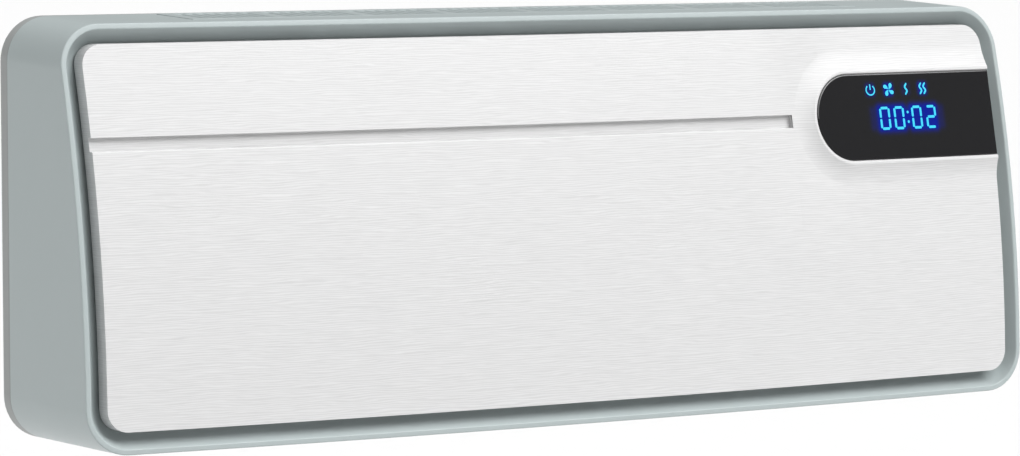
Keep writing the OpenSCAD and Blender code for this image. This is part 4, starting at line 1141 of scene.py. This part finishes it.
class HEATER_OT_stage(bpy.types.Operator):
    """Set the pale floor, the soft studio lights and the camera"""
    bl_idname = "heater.stage"
    bl_label = "Stage"

    def execute(self, context):
        self.floor()
        self.lights(context.scene)
        self.camera(context.scene)
        return {"FINISHED"}

    def floor(self):
        ob = add("studio_floor", "plane", size=FLOOR_SIZE, location=(0, 0, FLOOR_LEVEL))
        ob.data.materials.append(finish("studio floor", moulded_group, tuple(colours().floor), shift=0.01,
                                        roughness=0.7, grain_scale=30.0))

    def lights(self, scene):
        """A white backdrop for the camera, a fainter world light for the rest, and three suns."""
        scene.world = scene.world or bpy.data.worlds.new("Studio")
        scene.world.use_nodes = True
        tree = scene.world.node_tree
        world = find_node(tree, "BACKGROUND")
        backdrop = add_node(tree, "Background")
        for node, strength in ((world, WORLD_LIGHT), (backdrop, BACKDROP_LIGHT)):
            node.inputs["Color"].default_value = (1, 1, 1, 1)
            node.inputs["Strength"].default_value = strength
        seen = add_node(tree, "LightPath").outputs["Is Camera Ray"]
        mixed = add_node(tree, "MixShader", {0: seen, 1: world.outputs[0], 2: backdrop.outputs[0]})
        feed(tree, find_node(tree, "OUTPUT_WORLD").inputs["Surface"], mixed.outputs[0])
        for name, strength, wide, source in LIGHTS:
            lamp = bpy.data.lights.new(name, "SUN")
            lamp.energy, lamp.angle = strength, math.radians(wide)
            ob = bpy.data.objects.new(name, lamp)
            ob.rotation_euler = Vector(source).to_track_quat("Z", "Y").to_euler()
            scene.collection.objects.link(ob)

    def camera(self, scene):
        azimuth, elevation, roll = (math.radians(angle) for angle in CAMERA_TURN)
        back = Vector((math.sin(azimuth) * math.cos(elevation), -math.cos(azimuth) * math.cos(elevation),
                       math.sin(elevation)))
        level = Vector((math.cos(azimuth), math.sin(azimuth), 0))
        right = level * math.cos(roll) + back.cross(level) * math.sin(roll)
        upward = back.cross(right)
        lens = bpy.data.cameras.new("Camera")
        lens.sensor_fit = "HORIZONTAL"
        lens.sensor_width = SENSOR_WIDTH
        lens.lens = FOCAL_PIXELS / PHOTO_WIDTH * SENSOR_WIDTH
        lens.clip_end = 1000
        ob = bpy.data.objects.new("Camera", lens)
        spot = CAMERA_TARGET - CAMERA_ACROSS * right - CAMERA_UP * upward + CAMERA_DISTANCE * back
        ob.matrix_world = Matrix.Translation(spot) @ Matrix((right, upward, back)).transposed().to_4x4()
        scene.collection.objects.link(ob)
        scene.camera = ob
        scene.view_settings.view_transform = "Standard"


class HEATER_PT_panel(bpy.types.Panel):
    bl_label = "Wall Fan Heater"
    bl_idname = "HEATER_PT_panel"
    bl_space_type = "VIEW_3D"
    bl_region_type = "UI"
    bl_category = "Heater"

    def draw(self, context):
        for group in (context.scene.heater_sizes, context.scene.heater_colours):
            box = self.layout.box()
            for key in group.__annotations__:
                box.prop(group, key)
        for operator in PIECES:
            self.layout.operator(operator.bl_idname)


PIECES = (HEATER_OT_housing, HEATER_OT_rear_cover, HEATER_OT_grille, HEATER_OT_switch, HEATER_OT_panel,
          HEATER_OT_window, HEATER_OT_display, HEATER_OT_inner, HEATER_OT_stage)
CLASSES = (HeaterSizes, HeaterColours, *PIECES, HEATER_PT_panel)


def register():
    for cls in CLASSES:
        bpy.utils.register_class(cls)
    bpy.types.Scene.heater_sizes = PointerProperty(type=HeaterSizes)
    bpy.types.Scene.heater_colours = PointerProperty(type=HeaterColours)


def unregister():
    del bpy.types.Scene.heater_colours
    del bpy.types.Scene.heater_sizes
    for cls in reversed(CLASSES):
        bpy.utils.unregister_class(cls)


def main():
    register()
    for operator in PIECES:
        getattr(bpy.ops.heater, operator.bl_idname.split(".")[1])()
    leave()


if __name__ == "__main__":
    main()
